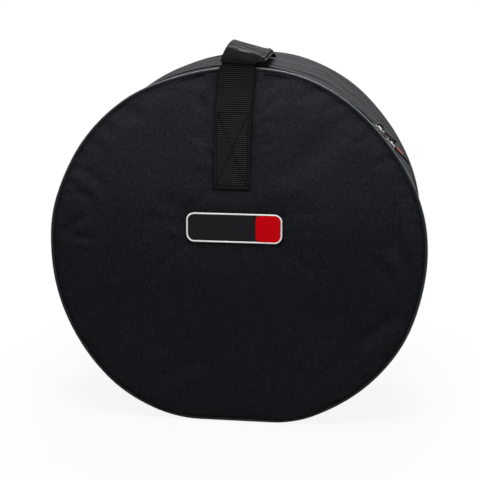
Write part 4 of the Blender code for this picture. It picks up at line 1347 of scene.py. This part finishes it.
def handle_route():
    """Smooth middle line of the handle, from the front piping to the end of the grip."""
    rise = [(Vector((STRAP_SHIFT + lean * HANDLE_LEAN, route_y(depth),
                     RIM_TOP_Z + high * HANDLE_RISE)), roll * HANDLE_ROLL, GRIP_STRAP_WIDTH)
            for depth, high, lean, roll in RISE_ROUTE_SHARES]
    middle_share = (TONGUE_START_SHARE + GRIP_END_SHARE) / 2
    tail = [tongue_station(share) for share in (TONGUE_START_SHARE, middle_share, GRIP_END_SHARE)]
    return eased(rise + tail)


def ribbon(name, stations, section, columns, thickness, width):
    """Strip swept along stations; section(index, u, width) gives its (across, out) point."""
    frames = []
    run = [0.0]
    for index, (point, roll, strap_width) in enumerate(stations):
        before = stations[max(index - 1, 0)][0]
        after = stations[min(index + 1, len(stations) - 1)][0]
        turn = math.radians(roll)
        side = Vector((math.cos(turn), 0.0, -math.sin(turn)))
        out = side.cross(after - before).normalized()
        frames.append((point, side, out, strap_width))
        if index:
            run.append(run[-1] + (point - stations[index - 1][0]).length)

    def place(u, v):
        index = min(round(v * (len(stations) - 1)), len(stations) - 1)
        point, side, out, strap_width = frames[index]
        across, lift = section(index, u, strap_width)
        return point + side * across + out * lift

    strip = cloth_grid(name, columns, len(stations) - 1, place, width, run[-1])
    uv = strip.data.uv_layers[0]
    for loop in uv.data:
        index = min(round(loop.uv[1] / run[-1] * (len(stations) - 1)), len(stations) - 1)
        loop.uv = (loop.uv[0], run[index])
    thicken(strip, thickness, offset=0.0, even=False)
    face_out(strip)
    apply(strip, "BEVEL", width=thickness * 0.28, segments=2, limit_method="ANGLE",
          angle_limit=math.radians(60))
    return strip


def flat(_index, u, width):
    """Section of a flat strap."""
    return (u - 0.5) * width, 0.0


def strap_face(stations, low, high, across, out, side):
    """Points on a sewn strap's face from one station to another, at a place across it."""
    points = []
    for index in range(low, high + 1):
        point, _, _ = stations[index]
        before = stations[max(index - 1, 0)][0]
        after = stations[min(index + 1, len(stations) - 1)][0]
        normal = Vector((-side, 0, 0)).cross(after - before).normalized()
        points.append((point + Vector((across, 0, 0)) + normal * out, normal))
    return points


def box_stitching(prefix, stations, body, side):
    """Square of stitches with a cross in it, through the strap's sewn end."""
    edge = STRAP_WIDTH / 2 - BOX_STITCH_MARGIN
    out = STRAP_THICKNESS / 2
    first, last = 1, BOX_STATIONS
    left = strap_face(stations, first, last, -edge, out, side)
    right = strap_face(stations, first, last, edge, out, side)
    steps = last - first

    def slanting(turn):
        """One stroke of the cross, from corner to corner."""
        return [strap_face(stations, first + step, first + step,
                           turn * edge * (2 * step / steps - 1), out, side)[0]
                for step in range(steps + 1)]

    rows = (("left", left), ("right", right), ("foot", [left[0], right[0]]),
            ("head", [left[-1], right[-1]]), ("rising", slanting(1)),
            ("falling", slanting(-1)))
    for name, points in rows:
        stitches(prefix + "_" + name, points, body, **BOX_STITCH)


def straps():
    """Front and rear webbing with their stitching."""
    sewn = sewn_stations(-1, STRAP_FOOT_OFFSET)
    rim = (Vector((STRAP_SHIFT, HANDLE_FRONT_Y, RIM_TOP_Z)), 0.0, STRAP_WIDTH)
    handle = handle_route()[:len(RISE_ROUTE_SHARES) * EASE_STEPS + 1]
    front = sewn + [rim] + handle
    strap = ribbon("front_strap_webbing", front, flat, 18, STRAP_THICKNESS, STRAP_WIDTH)
    dress(strap, "webbing", "lid", ["front_strap"])
    box_stitching("front_box", sewn, "lid", -1)

    share_span = TONGUE_END_SHARE - REAR_TONGUE_START_SHARE
    rear = [tongue_station(REAR_TONGUE_START_SHARE + share_span * step / REAR_STEPS)
            for step in range(REAR_STEPS + 1)]
    bend = (STRAP_ROUND + FIT_GAP) / math.cos(math.pi / (4 * REAR_BEND_STEPS))
    end, end_roll, end_width = rear[-1]
    top = Vector((STRAP_SHIFT, HALF_DEPTH, RIM_TOP_Z + bend))
    for step in range(1, REAR_STEPS):
        share = step / REAR_STEPS
        ease = share * share * (3 - 2 * share)
        rear.append((end.lerp(top, share), end_roll * (1 - ease),
                     end_width + (STRAP_WIDTH - end_width) * ease))
    for step in range(REAR_BEND_STEPS + 1):
        angle = math.pi / 2 * (1 - step / REAR_BEND_STEPS)
        rear.append((Vector((STRAP_SHIFT, HALF_DEPTH + bend * math.cos(angle),
                             RIM_TOP_Z + bend * math.sin(angle))), 0.0, STRAP_WIDTH))
    back_sewn = sewn_stations(1, 0.0)
    rear += reversed(back_sewn)
    strap = ribbon("rear_strap_webbing", rear, flat, 18, STRAP_THICKNESS, STRAP_WIDTH)
    dress(strap, "webbing", "bag", ["rear_strap"])
    box_stitching("rear_box", back_sewn, "bag", 1)


straps()


def grip():
    """Leatherette wrap: upper leaf with its left fold, and the leaf under the straps."""
    route = handle_route()[GRIP_MOUTH_STEPS:]
    top_start = 3 * EASE_STEPS - GRIP_MOUTH_STEPS
    under_from = EASE_STEPS - GRIP_MOUTH_STEPS
    run = [0.0]
    for (start, _, _), (end, _, _) in zip(route, route[1:]):
        run.append(run[-1] + (end - start).length)

    def right_edge(distance, extra):
        """Right edge of a leaf: the strap's width at its mouth, then a round corner."""
        share = min(max((distance - GRIP_CORNER_START) / GRIP_CORNER, 0.0), 1.0)
        mouth = GRIP_STRAP_WIDTH / 2 + FIT_GAP
        return mouth + (GRIP_RIGHT + extra - mouth) * math.sqrt(1 - (1 - share) ** 2)

    def pinch(across, distance):
        """Past the strap's edge the two leaves close, and part for the hook and loop strips."""
        share = min(max((across - GRIP_STRAP_WIDTH / 2 + PINCH_START) / PINCH_RUN, 0.0), 1.0)
        parting = min(max((distance - PARTING_START) / PARTING_RUN, 0.0), 1.0)
        apart = LEAVES_CLOSED + (LEAVES_PARTED - LEAVES_CLOSED) * parting
        return (GRIP_LEAF - apart) * share * share * (3 - 2 * share)

    def ripple(across, distance):
        """Slight unevenness of the upper leaf."""
        return GRIP_RIPPLE * noise.noise(Vector((across * 130.0, distance * 90.0, 1.0)))

    def under(index, u, _width):
        """Across the lower leaf, which runs from inside the fold to past the upper one."""
        distance = run[index + under_from]
        left = -(GRIP_LEFT - GRIP_SKIN / 2 - FIT_GAP)
        across = left + (right_edge(distance, UNDER_LEAF_EXTRA) - left) * u
        return across, -GRIP_LEAF + pinch(across, distance)

    def upper(index, u, _width):
        """Across the upper leaf: its fold hangs down at the left, the rest lies on the strap."""
        fold = min(index / top_start, 1.0)
        if u < GRIP_FOLD_SHARE:
            share = u / GRIP_FOLD_SHARE
            turn = math.pi / 2 * max(0.0, (share - GRIP_FOLD_BEND) / (1 - GRIP_FOLD_BEND))
            drop = GRIP_LEAF * 2 * fold * max(0.0, 1 - share / GRIP_FOLD_BEND)
            return GRIP_FOLD_ROUND * (1 - math.cos(turn)) - GRIP_LEFT, GRIP_LEAF - drop
        inner = GRIP_SKIN * (1 - fold) - GRIP_LEFT
        share = (u - GRIP_FOLD_SHARE) / (1 - GRIP_FOLD_SHARE)
        across = inner + (right_edge(run[index], 0.0) - inner) * share
        lift = GRIP_LEAF + ripple(across, run[index])
        return across, lift - pinch(across, run[index])

    leaf = ribbon("grip_under", route[under_from:], under, 20, GRIP_SKIN, GRIP_RIGHT * 2)
    dress(leaf, "leather", "lid", ["grip_under_leaf"])
    wrap = ribbon("grip_wrap", route, upper, 36, GRIP_SKIN, GRIP_RIGHT * 2)
    dress(wrap, "leather", None, ["grip_front_lap", "grip_flap"])
    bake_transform(wrap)
    mid = GRIP_RIGHT - FIT_GAP - FASTENER_WIDTH / 2
    held = route[top_start + EASE_STEPS // 3:-EASE_STEPS]
    for name, body, node, out in (("loop_strip", "lid", "grip_loop_strip", -1),
                                  ("hook_strip", "grip_flap", "grip_hook_strip", 1)):
        def section(_index, u, _width, out=out):
            return mid + (u - 0.5) * FASTENER_WIDTH, out * FASTENER_LIFT
        strip = ribbon(name, held, section, 4, FASTENER_THICKNESS, FASTENER_WIDTH)
        dress(strip, "fastener", body, [node])


grip()


def rounded_plate(name, width, height, corner, thickness, centre):
    """Flat plate with round corners, standing upright and facing the front."""
    bpy.ops.object.select_all(action="DESELECT")
    bpy.ops.mesh.primitive_plane_add(size=1.0)
    plate = bpy.context.object
    plate.name = name
    plate.scale = (width, height, 1.0)
    place_applied(plate)
    shape_all(plate, bpy.ops.mesh.bevel, offset=corner, segments=10, affect="VERTICES")
    plate.rotation_euler = (math.radians(90), 0, 0)
    plate.location = centre
    place_applied(plate)
    thicken(plate, thickness, offset=0.0)
    face_out(plate)
    return plate


def badge():
    """Plain badge: black field, red field and a white edge of close overlocked thread."""
    width, height = BADGE_HIGH.x - BADGE_LOW.x, BADGE_HIGH.z - BADGE_LOW.z
    centre = (BADGE_LOW + BADGE_HIGH) / 2
    thickness = BADGE_HIGH.y - BADGE_LOW.y
    base = rounded_plate("badge_field", width - BADGE_BASE_TUCK, height - BADGE_BASE_TUCK,
                         BADGE_CORNER, thickness, centre)
    dress(base, "badge_black", "lid", ["badge_base"])
    low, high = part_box("badge_red_field")
    face_y = centre.y - thickness / 2
    middle = Vector(((low.x + high.x) / 2, face_y - BADGE_FIELD_THICKNESS / 2, centre.z))
    field = rounded_plate("badge_red", high.x - low.x,
                          height - 2 * BADGE_BORDER + BADGE_FIELD_TUCK, BADGE_FIELD_CORNER,
                          BADGE_FIELD_THICKNESS, middle)
    dress(field, "badge_red", "lid", ["badge_red_field"])
    inner_x, inner_z = width / 2 - BADGE_CORNER, height / 2 - BADGE_CORNER
    reach = BADGE_CORNER - BADGE_BORDER / 2
    run = []
    for quarter, (sx, sz) in enumerate(((1, 1), (-1, 1), (-1, -1), (1, -1))):
        for step in range(13):
            angle = math.pi / 2 * (quarter + step / 12)
            run.append(Vector((centre.x + sx * inner_x + reach * math.cos(angle), face_y,
                               centre.z + sz * inner_z + reach * math.sin(angle))))
    lengths = [0.0]
    for start, end in zip(run, run[1:] + run[:1]):
        lengths.append(lengths[-1] + (end - start).length)

    def at(distance):
        """Place on the edge at a distance along it."""
        distance %= lengths[-1]
        for index in range(len(run)):
            if lengths[index + 1] >= distance:
                share = (distance - lengths[index]) / (lengths[index + 1] - lengths[index])
                return run[index].lerp(run[(index + 1) % len(run)], share)
        return run[0]

    def border_centre(u):
        point = at(u * lengths[-1])
        along = (at(u * lengths[-1] + 0.0004) - point).normalized()
        return point, along.cross(Vector((0, -1, 0))), Vector((0, -0.62, 0))

    def border_radius(u, turn):
        thread = math.sin(2 * math.pi * BADGE_BORDER_THREADS * u + math.sin(turn) * 1.2)
        return BADGE_BORDER / 2 * (1.0 + 0.05 * thread)

    edge = tube("badge_edge", 1560, 8, border_centre, border_radius, lengths[-1])
    dress(edge, "badge_white", "lid", ["badge_border"], smooth=60.0)


badge()


def slider_place(angle):
    """Slider's own frame: X along the zip towards its lower end, Z out of the rim."""
    turn = math.radians(90.0 + angle)
    out = Vector((math.sin(turn), 0.0, -math.cos(turn)))
    y_axis = Vector((0.0, 1.0, 0.0))
    basis = Matrix((y_axis.cross(out), y_axis, out)).transposed().to_4x4()
    basis.translation = Vector((0.0, ZIP_Y, CENTRE_Z))
    return basis


def drawn_outline(start, end, start_half, end_half, squareness, steps=40):
    """Outline along X with rounded ends: its half width goes from start_half to end_half."""
    outline = []
    for step in range(steps):
        turn = 2 * math.pi * step / steps
        along, aside = math.cos(turn), math.sin(turn)
        share = 0.5 + 0.5 * math.copysign(abs(along) ** squareness, along)
        half = start_half + (end_half - start_half) * share
        outline.append((start + (end - start) * share,
                        half * math.copysign(abs(aside) ** squareness, aside)))
    return outline


def drawn_plate(name, outline, low, high, rounding, place, dish=0.0):
    """Plate of a drawn outline between two heights, its edges rounded, its top dished."""
    bpy.ops.object.select_all(action="DESELECT")
    bpy.ops.mesh.primitive_circle_add(vertices=len(outline), fill_type="NGON")
    plate = bpy.context.object
    plate.name = name
    for vert, (x, y) in zip(plate.data.vertices, outline):
        vert.co = (x, y, low)
    face_out(plate)
    if plate.data.polygons[0].normal.z < 0:
        shape_all(plate, bpy.ops.mesh.flip_normals)
    thicken(plate, high - low, offset=1.0)
    if dish:
        choose(plate)
        bpy.ops.object.mode_set(mode="EDIT")
        bpy.ops.mesh.select_all(action="DESELECT")
        bpy.ops.object.mode_set(mode="OBJECT")
        for polygon in plate.data.polygons:
            polygon.select = abs(polygon.normal.z) > 0.9
        bpy.ops.object.mode_set(mode="EDIT")
        bpy.ops.mesh.select_mode(type="FACE")
        bpy.ops.mesh.inset(thickness=dish * 2.5, depth=-dish)
        bpy.ops.object.mode_set(mode="OBJECT")
    apply(plate, "BEVEL", width=rounding, segments=3, limit_method="ANGLE",
          angle_limit=math.radians(35))
    plate.data.transform(place)
    return plate


def slider_body(prefix, place):
    """Deck with turned-down flanges, the post between the zip rows, and the keel."""
    body, node = prefix + "_slider", prefix + "_slider_body"
    half = SLIDER_LENGTH / 2
    under_deck = SLIDER_DECK - SLIDER_PLATE
    deck = drawn_outline(-half, half, SLIDER_TAIL_HALF_WIDTH, SLIDER_NOSE_HALF_WIDTH,
                         DECK_SQUARENESS)
    dress(drawn_plate(prefix + "_deck", deck, under_deck, SLIDER_DECK, DECK_ROUNDING, place),
          "dark", body, [node])
    keel = drawn_outline(-half, half, KEEL_HALF_WIDTH * KEEL_TAIL_SHARE, KEEL_HALF_WIDTH,
                         DECK_SQUARENESS)
    dress(drawn_plate(prefix + "_keel", keel, KEEL_OUTER - SLIDER_PLATE, KEEL_OUTER,
                      KEEL_ROUNDING, place), "dark", body)
    post = drawn_outline(half * 0.2, half * 0.95, POST_HALF_WIDTH, POST_HALF_WIDTH, 1.0, steps=16)
    dress(drawn_plate(prefix + "_post", post, KEEL_OUTER, under_deck, 0.0001, place), "dark", body)
    for end, side in (("front", -1), ("rear", 1)):
        edge = sorted((x, y - side * FLANGE_WIRE, under_deck - 0.0001) for x, y in deck
                      if y * side > SLIDER_TAIL_HALF_WIDTH * FLANGE_START_SHARE)
        dress(wire(f"{prefix}_{end}_flange", edge, FLANGE_WIRE, place), "dark", body)


def slider_bridge(prefix, place):
    """Arch that holds the pull, its feet set into two small bosses on the deck."""
    body, node = prefix + "_slider", prefix + "_slider_bridge"
    points = []
    for step in range(25):
        turn = math.pi * step / 24
        along = math.cos(turn)
        points.append((BRIDGE_HALF_LENGTH * math.copysign(abs(along) ** BRIDGE_SQUARENESS, along),
                       0.0, SLIDER_DECK + BRIDGE_RISE * math.sin(turn) ** BRIDGE_SQUARENESS))
    dress(wire(prefix + "_arch", points, BRIDGE_WIRE, place), "dark", body, [node], smooth=60.0)
    for end, along in (("tail", -BRIDGE_HALF_LENGTH), ("nose", BRIDGE_HALF_LENGTH)):
        boss = drawn_outline(along - BOSS_HALF_LENGTH, along + BOSS_HALF_LENGTH, BOSS_HALF_WIDTH,
                             BOSS_HALF_WIDTH, 0.8, steps=20)
        dress(drawn_plate(f"{prefix}_{end}_boss", boss, SLIDER_DECK, SLIDER_DECK + BOSS_HEIGHT,
                          0.0003, place), "bright", body)


def zip_pull(prefix, place, mark_side):
    """Wire ring with a moulded tag: its rim stands proud round a plain coloured inlay."""
    body = prefix + "_pull"
    ring = []
    for across, along, quarter in ((-1, 0, 2), (1, 0, 3), (1, 1, 0), (-1, 1, 1)):
        for step in range(5):
            turn = math.pi / 2 * (quarter + step / 4)
            x = RING_CORNER + (RING_LENGTH - 2 * RING_CORNER) * along + RING_CORNER * math.sin(turn)
            y = (RING_WIDTH / 2 - RING_CORNER) * across + RING_CORNER * math.cos(turn)
            ring.append((x, y, 0.0))
    dress(wire(prefix + "_ring", ring, RING_WIRE, place, closed=True), "bright", body,
          [prefix + "_pull_ring"], smooth=60.0)
    tag_end = TAG_START + TAG_LENGTH
    half = TAG_THICKNESS / 2
    outline = drawn_outline(TAG_START, tag_end, TAG_NECK_HALF_WIDTH, TAG_TIP_HALF_WIDTH,
                            TAG_SQUARENESS)
    dress(drawn_plate(prefix + "_tag", outline, -half, half, TAG_ROUNDING, place, dish=TAG_DISH),
          "rubber", body, [prefix + "_pull_tag"])
    sleeve = [(RING_LENGTH, y, 0.0) for y in (-SLEEVE_HALF_WIDTH, -0.0010, 0.0, 0.0010,
                                              SLEEVE_HALF_WIDTH)]
    dress(wire(prefix + "_tag_sleeve", sleeve, SLEEVE_RADIUS, place), "rubber", body, smooth=50.0)
    mark = drawn_outline(MARK_START, MARK_START + MARK_LENGTH, MARK_HALF_WIDTH * 0.9,
                         MARK_HALF_WIDTH, 0.4)
    low, high = sorted((mark_side * (half - MARK_SUNK), mark_side * (half + MARK_PROUD)))
    dress(drawn_plate(prefix + "_inlay", mark, low, high, 0.0001, place), "mark", body,
          [prefix + "_pull_mark"])


def sliders():
    """The two sliders, nose to nose, and their pulls."""
    for prefix, mark_side in (("upper", -1), ("lower", 1)):
        place = slider_place(SLIDER_ANGLES[prefix])
        slider_body(prefix, place)
        slider_bridge(prefix, place)
        swing = (Matrix.Translation((0.0, 0.0, SLIDER_DECK + PULL_PIVOT_HEIGHT))
                 @ Matrix.Rotation(math.radians(PULL_TURNS[prefix]), 4, "Z")
                 @ Matrix.Rotation(math.radians(-PULL_LIFTS[prefix]), 4, "Y"))
        zip_pull(prefix, place @ swing, mark_side)


sliders()


def floor_material():
    """Pale floor that keeps the bag's shadow and whitens away from it."""
    finish = Finish("pale floor", None, 0.9)
    finish.feed("Base Color", (0.62, 0.62, 0.62, 1.0))
    glow = finish.node("Emission", None, {"Color": (1.0, 1.0, 1.0, 1.0), "Strength": 1.0})
    place = finish.node("TexCoord").outputs["Object"]
    away = finish.value(finish.node("VectorMath", {"operation": "LENGTH"}, {0: place}), "Value")
    share = finish.camera_sees() * away.ramp(0.12, 0.42, 0.905, 1.0)
    mix = finish.node("MixShader", None, {0: share, 1: finish.shader.outputs[0],
                                          2: glow.outputs[0]})
    finish.plug(finish.nodes["Material Output"].inputs["Surface"], mix.outputs[0])
    return finish.material


def studio():
    """Pale floor, white backdrop and soft lamps."""
    scene = bpy.context.scene
    scene.view_settings.view_transform = "Standard"
    bpy.ops.object.select_all(action="DESELECT")
    bpy.ops.mesh.primitive_plane_add(size=60.0, location=(0, 0, -0.0002))
    floor = bpy.context.object
    floor.name = "floor"
    floor.data.materials.append(floor_material())

    world = bpy.data.worlds.new("studio")
    scene.world = world
    world.use_nodes = True
    sky = Nodes(world.node_tree)
    level = sky.node("MapRange", None, {"Value": sky.camera_sees(), "To Min": 0.08, "To Max": 1.0})
    backdrop = sky.nodes["Background"].inputs
    sky.plug(backdrop["Strength"], level.outputs[0])
    sky.plug(backdrop["Color"], (1.0, 1.0, 1.0, 1.0))

    for name, place, size, power in LAMPS:
        bpy.ops.object.light_add(type="AREA", location=place)
        lamp = bpy.context.object
        lamp.name = name
        lamp.data.size = size
        lamp.data.energy = power
        aim = Vector((0, 0, CENTRE_Z)) - Vector(place)
        lamp.rotation_euler = aim.to_track_quat("-Z", "Y").to_euler()


studio()
